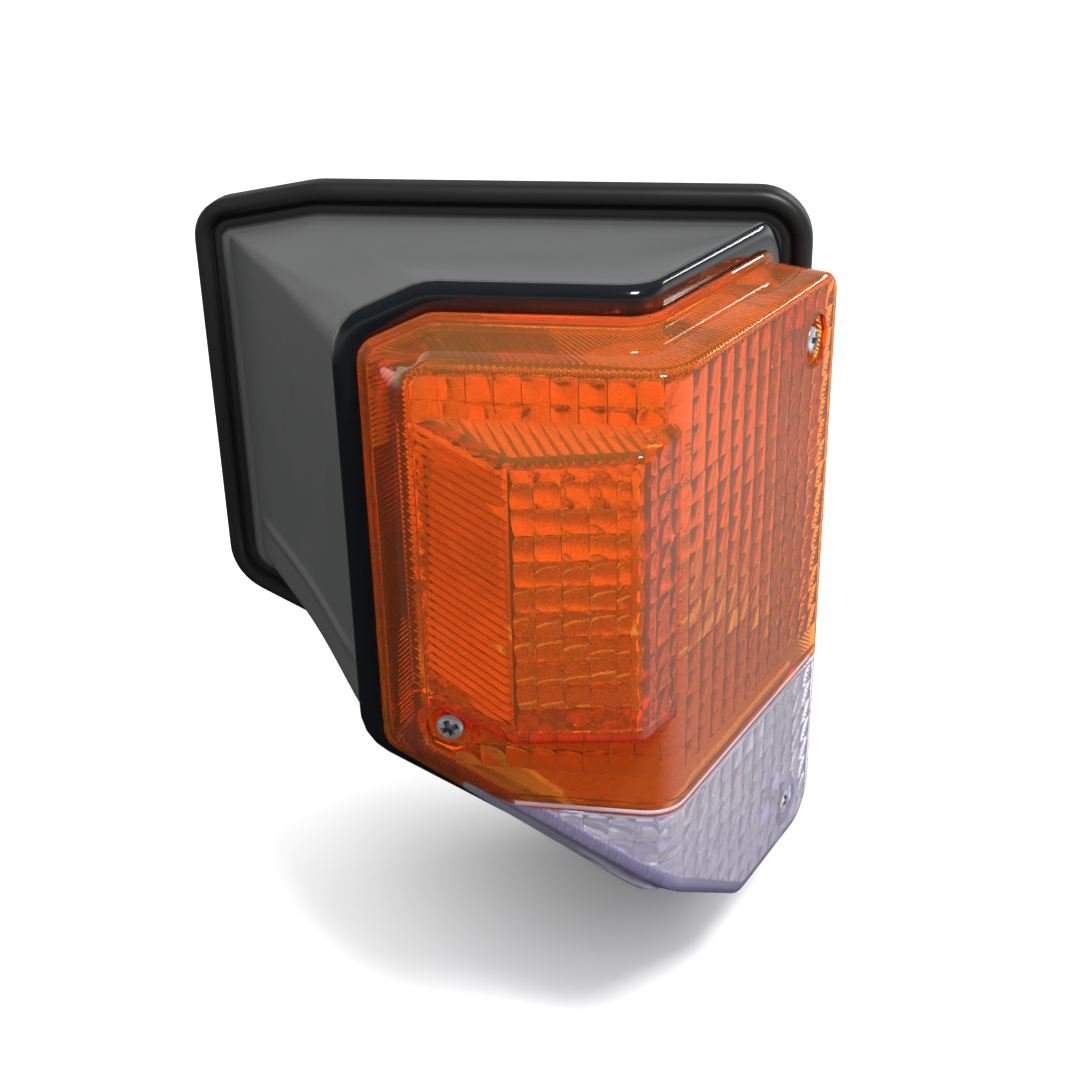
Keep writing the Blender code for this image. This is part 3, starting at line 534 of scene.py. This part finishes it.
def block_panel(work, which):
    """Relief cells of the block's face or of its side."""
    plan, ways, outs = block_walls(LENS_WALL, LENS_WALL, LENS_WALL)
    first = BLOCK_BOTTOM + LENS_WALL - 3.0
    if which == "face":
        origin, way, out = plan[1], ways[1], outs[1]
        start, count, pitch = -0.9, 6, BLOCK_CELL[0]
    else:
        origin, way, out = plan[3], ways[2], outs[2]
        start, count, pitch = SIDE_CELL_START - 3 * SIDE_CELL, 3, SIDE_CELL
    u_at = cell_marks(start, pitch, start + pitch * count)
    v_at = cell_marks(first, BLOCK_CELL[1], BLOCK_TOP)

    def height(u, v):
        return pillow(u, v, (pitch, BLOCK_CELL[1]), (start, first), CELL_BULGE) + 0.05

    def place(u, v, depth):
        return origin + way * u - out * depth + Vector((0, 0, v))
    grid_solid(work, place, u_at, v_at, height, CELL_BULGE + 1.0)


def joint_space(seam):
    """Space of the clear lens: under the joint and outboard of its turned end."""
    inboard = Vector((math.cos(JOINT_TURN), math.sin(JOINT_TURN), 0))

    def low(work):
        place = Matrix.Translation((40, -90, JOINT_Z + seam - 150))
        bmesh.ops.create_cube(work, size=1.0, matrix=place @ Matrix.Diagonal((400, 260, 300, 1)))

    def side(work):
        place = Matrix.Translation(Vector((*JOINT_FOOT, 0)) - inboard * (100 + seam))
        place = place @ Matrix.Rotation(JOINT_TURN, 4, "Z")
        bmesh.ops.create_cube(work, size=1.0, matrix=place @ Matrix.Diagonal((200, 300, 400, 1)))
    return combine(built("low", low), [("DIFFERENCE", built("side", side))])


def cylinder(work, at, out, radius, start, end, steps=40):
    turned(work, [(0, start), (radius, start), (radius, end), (0, end)], frame_at(at, out), steps)


HOLE_RADIUS, BOSS_RADIUS = 2.5, 8.5
LENS_EDGE_ANGLE, PIECE_EDGE_ANGLE, SMALL_EDGE_ANGLE = 28, 40, 35


def smooth(piece, sharp_above):
    piece.data.shade_smooth()
    piece.data.set_sharp_from_angle(angle=math.radians(sharp_above))


def make_lenses():
    """Amber and clear lens, cut apart from one shell with its block, cells and bosses."""
    relief = combine(built("relief", face_relief), [("INTERSECT", built("clip", face_clip))])
    shell = combine(built("shell", lens_outer),
                    [("DIFFERENCE", built("hollow", lens_inner)), ("DIFFERENCE", relief)])
    work = bmesh.new()
    work.from_mesh(shell.data)
    bpy.data.objects.remove(shell)
    bmesh.ops.scale(work, vec=(1 / MM, 1 / MM, 1 / MM), verts=work.verts)
    whole = new_object("lens", work, bent=True)
    ribbed_wall, celled_wall = LENS_WALL + BLOCK_RIB, LENS_WALL + CELL_BULGE + 0.1
    hollow = built("block_hollow", lambda w: block_hollow(
        w, ribbed_wall, celled_wall, celled_wall, ribbed_wall, 9.0))
    pieces = [(name, built(name, lambda w, n=name: block_ribs(w, n)))
              for name in ("ramp", "top", "bottom")]
    pieces += [(name, built(name, lambda w, n=name: block_panel(w, n)))
               for name in ("face", "side")]
    steps = [("UNION", built("block", block_outer)), ("DIFFERENCE", hollow)]
    for name, tool in pieces:
        clip = built("clip_" + name, lambda w, n=name: block_clip(w, n))
        steps.append(("DIFFERENCE", combine(tool, [("INTERSECT", clip)])))
    for at, out, radius in SCREWS.values():
        boss_radius = min(BOSS_RADIUS, radius + 3.0)
        boss = built("boss", lambda w: cylinder(w, at, out, boss_radius, -9.0, -1.5))
        steps.append(("UNION", boss))
    for at, out, radius in SCREWS.values():
        pocket = built("pocket", lambda w: cylinder(w, at, out, radius, -POCKET_DEPTH, 12.0))
        hole = built("hole", lambda w: cylinder(w, at, out, HOLE_RADIUS, -40.0, 0.0))
        steps += [("DIFFERENCE", pocket), ("DIFFERENCE", hole)]
    combine(whole, steps)
    made = []
    for name, operation, seam in (("amber_lens_prisms", "DIFFERENCE", JOINT_SEAM / 2),
                                  ("clear_lens_prisms", "INTERSECT", -JOINT_SEAM / 2)):
        part = whole.copy()
        part.data = whole.data.copy()
        part.name = name
        bpy.context.scene.collection.objects.link(part)
        combine(part, [(operation, joint_space(seam))])
        smooth(part, LENS_EDGE_ANGLE)
        made.append(part)
    bpy.data.objects.remove(whole)
    return made


# ---- rim, housing, seal -------------------------------------------------------------------
RIM_WIDTH, RIM_DEPTH, GAP = 7.0, 7.0, 0.3
HOUSING_WALL = 2.3
GROOVE_INSET, GROOVE_Y, STEP_INSET, STEP_Y = 12.6, -7.0, 8.8, -6.6
FLARE = 1.8
RIDGE_PLACE, RIDGE_HALF, RIDGE_HEIGHT = 14.115, 0.03, 1.2


def arc_points(centre, radius, start, end, steps):
    """Run of points on an arc, its angles in degrees."""
    points = []
    for step in range(steps + 1):
        angle = math.radians(start + (end - start) * step / steps)
        points.append((centre[0] + radius * math.cos(angle), centre[1] + radius * math.sin(angle)))
    return points


def make_rim():
    """Rolled rim round the lens opening; its section is (outwards, backwards)."""
    outer = RIM_WIDTH + 1.5
    section = [(0.0, RIM_DEPTH), (0.0, 2.6)]
    section += arc_points((2.3, 2.6), 2.3, 180, 250, 6)
    section += arc_points((outer - 3.6, 3.9), 3.6, 275, 360, 10)
    section += [(outer, 5.6), (RIM_WIDTH + 1.0, RIM_DEPTH)]
    places = stations(RIM_OUTLINE, 300)
    rows = [row_of(RIM_OUTLINE, -out, LENS_DEPTH + back, places) for out, back in section]
    return built("rolled_rim", lambda w: add_rows(w, rows, closed=True), bent=True)


def on_lens(row):
    """Row of lens space, bent to the plan."""
    return np.array([tuple(plan_point(along, behind) + Vector((0, 0, z)))
                     for along, behind, z in row])


def on_plane(outline, inset, y, places):
    """Row of an outline in the plane at y."""
    row = row_of(outline, inset, 0.0, places)
    return np.column_stack([SEAT_CORNER_X + row[:, 0], np.full(len(row), float(y)), row[:, 2]])


def housing_rows(inset, places):
    """Wall from the rim to the wing, a little hollow, with a ridge above its lower edge.

    The ridge runs along the outline's place RIDGE_PLACE and fades at both ends.
    """
    mouth = LENS_DEPTH + RIM_DEPTH
    front = on_lens(row_of(RIM_OUTLINE, -7.4 + inset, mouth + GAP, places))
    neck = on_lens(row_of(RIM_OUTLINE, -7.6 + inset, mouth + 3.0, places))
    groove = on_plane(FLANGE_OUTLINE, GROOVE_INSET + inset, GROOVE_Y + inset * 0.4, places)
    rows = [front, mixed(front, neck, 0.5), neck]
    inwards = (on_plane(FLANGE_OUTLINE, GROOVE_INSET + 1.0 + inset, GROOVE_Y, places)
               - on_plane(FLANGE_OUTLINE, GROOVE_INSET + inset, GROOVE_Y, places))
    ridge = np.clip(1 - np.abs(places - RIDGE_PLACE) / RIDGE_HALF, 0, 1)
    ridge = (ridge * ridge * (3 - 2 * ridge))[:, None]
    for share in np.arange(0.04, 1.0, 0.04):
        pulled = FLARE * math.sin(math.pi * share) ** 2
        raised = RIDGE_HEIGHT * min(1.0, 8 * share, 8 * (1 - share))
        rows.append(mixed(neck, groove, share) + inwards * (pulled - raised * ridge))
    step = on_plane(FLANGE_OUTLINE, STEP_INSET + inset, STEP_Y + inset, places)
    rear = on_plane(FLANGE_OUTLINE, STEP_INSET + inset, 0.0, places)
    return rows + [groove, step, rear]


def make_housing():
    """Flared wall, outside and inside."""
    places = stations(RIM_OUTLINE, 600)
    rows = housing_rows(0.0, places) + list(reversed(housing_rows(HOUSING_WALL, places)))
    return built("housing_wall", lambda w: add_rows(w, rows, closed=True))


def make_seal():
    """Rubber seal: a full bead, a groove behind it and a thin lip on the housing."""
    section = [(8.2, 1.0), (8.2, -6.9), (9.8, -7.3), (9.9, -7.7), (8.8, -8.0), (7.5, -7.7),
               (6.9, -6.8), (6.4, -6.6), (6.1, -6.8)]
    section += arc_points((3.1, -7.0), 3.0, 355, 182, 14)
    section += [(0.0, -4.0), (0.0, 0.4), (0.6, 1.0)]
    places = stations(FLANGE_OUTLINE, 320)
    rows = [on_plane(FLANGE_OUTLINE, inset, y, places) for inset, y in section]
    return built("flange_bead", lambda w: add_rows(w, rows, closed=True))


# ---- screws and the back's small pieces ---------------------------------------------------
HEAD_RADIUS, HEAD_HEIGHT, SHANK_LENGTH = 4.0, 2.6, 16.0
RECESS_SIZE, RECESS_SINK = (6.3, 1.9, 3.0, 1), 0.55
THREAD_TURNS, THREAD_PITCH = 17, 0.7
STUD_PLACES = {"upper_inner": (-72.0, 82.0), "upper_outer": (62.0, 82.0), "lower": (58.0, -96.0)}
GROMMET_PLACE, VENT_PLACE = (-40.0, -10.0), (14.0, -66.0)
NUT_CORNER, NUT_LOW, NUT_HIGH, NUT_BORE, NUT_BEVEL = 5.77, 4.7, 9.7, 3.08, 0.5
STUD_TURNS = 13
STUD_FOOT = [(0, -4.4), (6.6, -4.4), (7.0, -4.0), (7.0, -2.3), (3.0, -2.3), (3.0, 10.4)]
WASHER = [(3.3, 4.4), (6.7, 4.4), (7.0, 4.1), (7.0, 3.5), (6.7, 3.2), (3.3, 3.2)]
GROMMET = [(4.0, 6.0), (6.1, 6.0), (6.6, 5.7), (8.8, 4.2), (9.2, 3.9), (11.6, 3.3), (12.0, 2.9),
           (12.0, 0.7), (11.7, 0.3), (9.0, 0.3), (9.0, -2.3), (11.1, -2.3), (11.5, -2.7),
           (11.5, -4.1), (11.1, -4.5), (4.0, -4.5)]
VENT = [(1.7, 10.0), (3.1, 10.0), (3.5, 9.6), (3.8, 8.6), (3.4, 8.2), (3.4, 2.9), (3.7, 2.6),
        (6.7, 2.6), (7.0, 2.3), (7.0, 0.6), (6.7, 0.3), (5.0, 0.3), (5.0, -2.3), (6.2, -2.3),
        (4.6, -5.0), (1.7, -5.0)]


def make_screw(at, out, spin):
    """Pan head lens screw with a cross recess and a threaded shank."""
    seat = GAP - POCKET_DEPTH
    top, tip = seat + HEAD_HEIGHT, seat - SHANK_LENGTH
    profile = [(0, top)]
    profile += [(HEAD_RADIUS * math.sin(angle), top - 1.5 * (1 - math.cos(angle)))
                for angle in np.radians(np.arange(12, 91, 13))]
    profile += [(HEAD_RADIUS, seat + 0.5), (HEAD_RADIUS - 0.3, seat), (2.0, seat)]
    for turn in range(THREAD_TURNS):
        crest = seat - 1.6 - THREAD_PITCH * turn
        profile += [(1.95, crest), (1.6, crest - THREAD_PITCH / 2)]
    profile += [(1.6, tip + 2.0), (0.5, tip), (0, tip)]
    body = built("screw", lambda w: turned(w, profile, frame_at(at, out), 48))

    def recess(work, turn):
        place = frame_at(at, out, spin + turn) @ Matrix.Translation((0, 0, top - RECESS_SINK))
        bar = bmesh.ops.create_cube(work, size=1.0, matrix=place @ Matrix.Diagonal(RECESS_SIZE))
        to_local = place.inverted()
        for vert in bar["verts"]:
            local = to_local @ vert.co
            if local.z < 0:
                vert.co = place @ Vector((local.x * 0.6, local.y * 0.85, local.z))
    return combine(body, [("DIFFERENCE", built("slot", lambda w: recess(w, 0.0))),
                          ("DIFFERENCE", built("slot", lambda w: recess(w, math.pi / 2)))])


def make_nut(place):
    """Hexagon nut with both rims chamfered."""
    def solid(profile, steps):
        return built("nut_tool", lambda w: turned(w, profile, place, steps))
    hexagon = solid([(0, NUT_LOW), (NUT_CORNER, NUT_LOW), (NUT_CORNER, NUT_HIGH), (0, NUT_HIGH)], 6)
    chamfer = solid([(0, NUT_LOW), (4.9, NUT_LOW), (5.85, NUT_LOW + NUT_BEVEL),
                     (5.85, NUT_HIGH - NUT_BEVEL), (4.9, NUT_HIGH), (0, NUT_HIGH)], 60)
    bore = solid([(0, 0), (NUT_BORE, 0), (NUT_BORE, 20), (0, 20)], 40)
    return combine(hexagon, [("INTERSECT", chamfer), ("DIFFERENCE", bore)])


def make_back_pieces():
    """Studs, washers, nuts, grommet and breather: (piece, node, body, slot)."""
    made = []
    stud = list(STUD_FOOT)
    for turn in range(STUD_TURNS):
        stud += [(2.95, 10.6 + turn), (2.55, 11.1 + turn)]
    stud += [(2.4, 24.0), (0, 24.0)]

    def standing(at):
        return frame_at((at[0], 0, at[1]), (0, 1, 0))

    def add(profile, at, node, slot):
        piece = built(node + "_fine", lambda w: turned(w, profile, standing(at), 60))
        made.append((piece, node, "housing", slot))
    for name, at in STUD_PLACES.items():
        add(stud, at, "stud_" + name, "zinc_steel")
        add(WASHER, at, "stud_washer_" + name, "zinc_steel")
        nut = make_nut(standing(at))
        nut.name = "nut_fine_" + name
        made.append((nut, "stud_nut_" + name, "nut_" + name, "zinc_steel"))
    add(GROMMET, GROMMET_PLACE, "wire_grommet", "black_rubber")
    add(VENT, VENT_PLACE, "breather", "black_rubber")
    return made


BEAD_START, BEAD_STEP, BEAD_STEPS = -44.5, 2.0, 74
BEAD_Z, BEAD_HALF, BEAD_RISE = -30.6, 0.7, 0.4


def make_joint_bead():
    """Thin clear line of cement that stands along the joint of the lenses."""
    def place(u, v, depth):
        return Vector((u, depth, v))

    def height(u, v):
        return -0.05 - BEAD_RISE * (1 - ((v - BEAD_Z) / BEAD_HALF) ** 2)
    along = [BEAD_START + BEAD_STEP * step for step in range(BEAD_STEPS + 1)]
    up = [-31.3, -31.1, -30.85, -30.6, -30.35, -30.1, -29.9]
    return built("joint_bead", lambda w: grid_solid(w, place, along, up, height, -0.03),
                 bent=True)


# ---- materials ----------------------------------------------------------------------------
LENS_IOR = 1.45
# CREVICE_REACH is how far the occlusion mask looks for the painted shade in the plating's crevices.
GRAIN_DEPTH, CREVICE_REACH = 0.0002, 0.003
PLASTIC_PATCHES, METAL_PATCHES, METAL_GRAIN = 45.0, 160.0, 900.0
# colour of the painted shade put into the crevices and recesses of the plating
CREVICE_SHADE_COLOUR = (0.07, 0.055, 0.045, 1.0)


def material(name, colour, roughness, metallic=0.0):
    made = bpy.data.materials.new(name)
    made.use_nodes = True
    shader = made.node_tree.nodes["Principled BSDF"]
    shader.inputs["Base Color"].default_value = (*colour, 1.0)
    shader.inputs["Roughness"].default_value = roughness
    shader.inputs["Metallic"].default_value = metallic
    return made, made.node_tree, shader


def add_bump(tree, shader, scale, strength):
    """Fine moulded grain; gives the coordinates that it uses."""
    where = tree.nodes.new("ShaderNodeTexCoord")
    noise = tree.nodes.new("ShaderNodeTexNoise")
    noise.inputs["Scale"].default_value = scale
    noise.inputs["Detail"].default_value = 2.0
    bump = tree.nodes.new("ShaderNodeBump")
    bump.inputs["Strength"].default_value = strength
    bump.inputs["Distance"].default_value = GRAIN_DEPTH
    tree.links.new(where.outputs["Object"], noise.inputs["Vector"])
    tree.links.new(noise.outputs["Fac"], bump.inputs["Height"])
    tree.links.new(bump.outputs["Normal"], shader.inputs["Normal"])
    return where


def varied(tree, shader, where, low, high, scale):
    """Let the roughness wander between two limits over the surface."""
    noise = tree.nodes.new("ShaderNodeTexNoise")
    noise.inputs["Scale"].default_value = scale
    noise.inputs["Detail"].default_value = 4.0
    span = tree.nodes.new("ShaderNodeMapRange")
    span.inputs["From Min"].default_value = 0.3
    span.inputs["From Max"].default_value = 0.7
    span.inputs["To Min"].default_value = low
    span.inputs["To Max"].default_value = high
    tree.links.new(where.outputs["Object"], noise.inputs["Vector"])
    tree.links.new(noise.outputs["Fac"], span.inputs["Value"])
    tree.links.new(span.outputs["Result"], shader.inputs["Roughness"])


def lens_material(name, tint, absorbed, density, roughness, clarity):
    """Clear plastic, coloured mostly by its depth."""
    made, tree, shader = material(name, tint, roughness)
    shader.inputs["Transmission Weight"].default_value = clarity
    shader.inputs["IOR"].default_value = LENS_IOR
    volume = tree.nodes.new("ShaderNodeVolumeAbsorption")
    volume.inputs["Color"].default_value = (*absorbed, 1.0)
    volume.inputs["Density"].default_value = density
    output = tree.nodes["Material Output"]
    tree.links.new(volume.outputs["Volume"], output.inputs["Volume"])
    return made


def plastic(name, colour, low, high, grain=1800.0, strength=0.15, coat=0.0):
    made, tree, shader = material(name, colour, (low + high) / 2)
    where = add_bump(tree, shader, grain, strength)
    varied(tree, shader, where, low, high, PLASTIC_PATCHES)
    shader.inputs["Coat Weight"].default_value = coat
    shader.inputs["Coat Roughness"].default_value = 0.12
    return made


def metal(name, colour, low, high, bump=0.1):
    made, tree, shader = material(name, colour, (low + high) / 2, 1.0)
    where = add_bump(tree, shader, METAL_GRAIN, bump)
    varied(tree, shader, where, low, high, METAL_PATCHES)
    return made


def soft_metal(name, colour, low, high, metallic):
    """Plating with a milky bloom, with painted shade darkening its crevices, recesses and threads.
    """
    made = metal(name, colour, low, high, 0.02)
    tree = made.node_tree
    shader = tree.nodes["Principled BSDF"]
    shader.inputs["Metallic"].default_value = metallic
    # painted shade: ambient occlusion darkens the colour in crevices, the screw's cross recess and
    # the threads
    hollow = tree.nodes.new("ShaderNodeAmbientOcclusion")
    hollow.samples = 8
    hollow.inputs["Distance"].default_value = CREVICE_REACH
    depth = tree.nodes.new("ShaderNodeMapRange")
    tree.links.new(hollow.outputs["AO"], depth.inputs["Value"])
    depth.inputs["From Min"].default_value = 0.3
    depth.inputs["From Max"].default_value = 0.75
    painted_shade = tree.nodes.new("ShaderNodeMix")
    painted_shade.data_type = "RGBA"
    tree.links.new(depth.outputs["Result"], painted_shade.inputs["Factor"])
    painted_shade.inputs["A"].default_value = CREVICE_SHADE_COLOUR
    painted_shade.inputs["B"].default_value = (*colour, 1.0)
    tree.links.new(painted_shade.outputs["Result"], shader.inputs["Base Color"])
    return made


AMBER = lens_material("amber_acrylic", (0.95, 0.50, 0.13), (0.985, 0.68, 0.20), 700.0, 0.02, 0.90)
CLEAR = lens_material("clear_acrylic", (0.935, 0.92, 0.96), (0.76, 0.71, 0.99), 90.0, 0.07, 0.84)
BEAD, _, BEAD_SHADER = material("joint_cement", (0.78, 0.60, 0.66), 0.25)
BEAD_SHADER.inputs["Transmission Weight"].default_value = 0.35
SATIN = plastic("black_satin", (0.098, 0.099, 0.099), 0.34, 0.46, 2600.0, 0.25)
GLOSS = plastic("black_gloss", (0.008, 0.010, 0.012), 0.10, 0.16, 900.0, 0.03, 0.6)
RUBBER = plastic("black_rubber", (0.012, 0.012, 0.013), 0.38, 0.5, 2200.0, 0.2)
SILVERED = metal("silvered_plastic", (0.88, 0.88, 0.87), 0.22, 0.34)
INSULATOR = plastic("brown_insulator", (0.16, 0.07, 0.03), 0.4, 0.55)
# zinc plating, its crevices darkened with painted shade
ZINC = soft_metal("zinc_plate", (0.72, 0.75, 0.82), 0.2, 0.34, 0.65)
NICKEL = metal("nickel_plate", (0.75, 0.73, 0.68), 0.18, 0.3)
BRASS = metal("brass", (0.75, 0.56, 0.25), 0.2, 0.34)
STEEL = metal("spring_steel", (0.5, 0.5, 0.5), 0.25, 0.4)
GLASS, _, GLASS_SHADER = material("bulb_glass", (0.98, 0.99, 1.0), 0.0)
GLASS_SHADER.inputs["Transmission Weight"].default_value = 1.0
LOOKS = {"amber_lens": AMBER, "clear_lens": CLEAR, "black_satin": SATIN, "black_gloss": GLOSS,
         "black_rubber": RUBBER, "silvered_plastic": SILVERED, "insulator": INSULATOR,
         "bulb_glass": GLASS, "nickel": NICKEL, "zinc_steel": ZINC, "brass": BRASS,
         "spring_steel": STEEL}


# ---- pieces on their bodies ---------------------------------------------------------------
def give(piece, look):
    piece.data.materials.clear()
    piece.data.materials.append(look)


for part in frame["record"]["subparts"]:
    node = NODES[part["node"]]
    for held in node.material_slots:
        held.link = "OBJECT"
        held.material = LOOKS[part["material_slot"]]
    if not node.material_slots:
        node.data.materials.append(LOOKS[part["material_slot"]])

amber, clear = make_lenses()
for piece, node, slot in ((amber, "amber_lens", "amber_lens"), (clear, "clear_lens", "clear_lens"),
                          (make_rim(), "lens_rim", "black_gloss"),
                          (make_housing(), "housing_shell", "black_satin"),
                          (make_seal(), "flange_seal", "black_rubber")):
    give(piece, LOOKS[slot])
    if piece not in (amber, clear):
        smooth(piece, PIECE_EDGE_ANGLE)
    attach(piece, "housing")
    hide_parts(node)
fine = make_back_pieces()
for count, (name, (at, out, _)) in enumerate(SCREWS.items()):
    screw = make_screw(at, out, 0.4 + 0.5 * count)
    screw.name = "screw_fine_" + name
    fine.append((screw, "lens_screw_" + name, "screw_" + name, "zinc_steel"))
for piece, node, body, slot in fine:
    give(piece, LOOKS[slot])
    smooth(piece, SMALL_EDGE_ANGLE)
    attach(piece, body)
    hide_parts(node)
bead = make_joint_bead()
give(bead, BEAD)
bead.data.shade_smooth()
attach(bead, "housing")


# ---- floor, world, lamps ------------------------------------------------------------------
FLOOR_Z, FLOOR_SIZE = -0.1285, 12000
DOME_STOPS = ((0.0, 0.45), (1.0, 1.9), (0.35, 0.5), (0.7, 1.9))
LAMPS = {"key": ((0.48, -0.52, 1.0), (0.03, -0.08, 0), (0.24, 0.24), 11.0),
         "edge": ((0.55, 0.75, 0.5), (0.08, -0.08, 0.08), (0.5, 0.03), 1.0)}


def make_floor():
    work = bmesh.new()
    bmesh.ops.create_grid(work, x_segments=1, y_segments=1, size=FLOOR_SIZE)
    floor = new_object("floor", work)
    floor.location.z = FLOOR_Z
    give(floor, material("floor_paper", (0.93, 0.93, 0.93), 0.7)[0])
    floor.visible_glossy = False
    floor.visible_diffuse = False


def make_world():
    """Soft dome of light; what is mirrored and what shines through have a world of their own."""
    world = bpy.data.worlds.new("studio")
    bpy.context.scene.world = world
    world.use_nodes = True
    tree = world.node_tree
    where = tree.nodes.new("ShaderNodeTexCoord")
    split = tree.nodes.new("ShaderNodeSeparateXYZ")
    tree.links.new(where.outputs["Generated"], split.inputs["Vector"])
    sideways, behind, upwards = (split.outputs[axis] for axis in "XYZ")

    def ramp(socket, stops):
        made = tree.nodes.new("ShaderNodeValToRGB")
        tree.links.new(socket, made.inputs["Fac"])
        keys = made.color_ramp.elements
        for index, (position, grey) in enumerate(stops):
            key = keys[index] if index < 2 else keys.new(position)
            key.position = position
            key.color = (grey, grey, grey * 1.01, 1)
        return made.outputs["Color"]

    def span(socket, low, high, to_low, to_high):
        made = tree.nodes.new("ShaderNodeMapRange")
        tree.links.new(socket, made.inputs["Value"])
        for name, value in (("From Min", low), ("From Max", high), ("To Min", to_low),
                            ("To Max", to_high)):
            made.inputs[name].default_value = value
        return made.outputs["Result"]

    def computed(operation, *sockets):
        made = tree.nodes.new("ShaderNodeMath")
        made.operation = operation
        for index, socket in enumerate(sockets):
            tree.links.new(socket, made.inputs[index])
        return made.outputs["Value"]

    def chosen(factor, first, second):
        made = tree.nodes.new("ShaderNodeMix")
        made.data_type = "RGBA"
        tree.links.new(factor, made.inputs["Factor"])
        tree.links.new(first, made.inputs["A"])
        tree.links.new(second, made.inputs["B"])
        return made.outputs["Result"]

    through = span(behind, 0.1, 0.75, 0.52, 1.02)
    near_horizon = span(computed("ABSOLUTE", upwards), 0.05, 0.30, 1.0, 0.03)
    band = computed("MULTIPLY", near_horizon, span(behind, 0.0, 0.8, 0.25, 0.8))
    beside = computed("MULTIPLY", span(sideways, 0.4, 0.9, 0.0, 1.2),
                      span(upwards, -0.35, 0.0, 1.0, 0.0))
    mirrored = computed("MAXIMUM", band, beside)
    backdrop = tree.nodes.new("ShaderNodeRGB")
    backdrop.outputs["Color"].default_value = (1, 1, 1, 1)
    path = tree.nodes.new("ShaderNodeLightPath")
    shiny = chosen(path.outputs["Is Transmission Ray"], mirrored, through)
    lit = chosen(path.outputs["Is Glossy Ray"], ramp(upwards, DOME_STOPS), shiny)
    seen = chosen(path.outputs["Is Camera Ray"], lit, backdrop.outputs["Color"])
    tree.links.new(seen, tree.nodes["Background"].inputs["Color"])
    tree.nodes["Background"].inputs["Strength"].default_value = 1.0


def make_lamp(name, at, target, size, power):
    data = bpy.data.lights.new(name, "AREA")
    data.shape = "RECTANGLE"
    data.size, data.size_y = size
    data.energy = power
    lamp = bpy.data.objects.new(name, data)
    bpy.context.scene.collection.objects.link(lamp)
    turn = (Vector(target) - Vector(at)).to_track_quat("-Z", "Y").to_matrix().to_4x4()
    lamp.matrix_world = Matrix.Translation(Vector(at)) @ turn


make_floor()
make_world()
for name, (at, target, size, power) in LAMPS.items():
    make_lamp(name, at, target, size, power)
bpy.context.scene.view_settings.view_transform = "Standard"
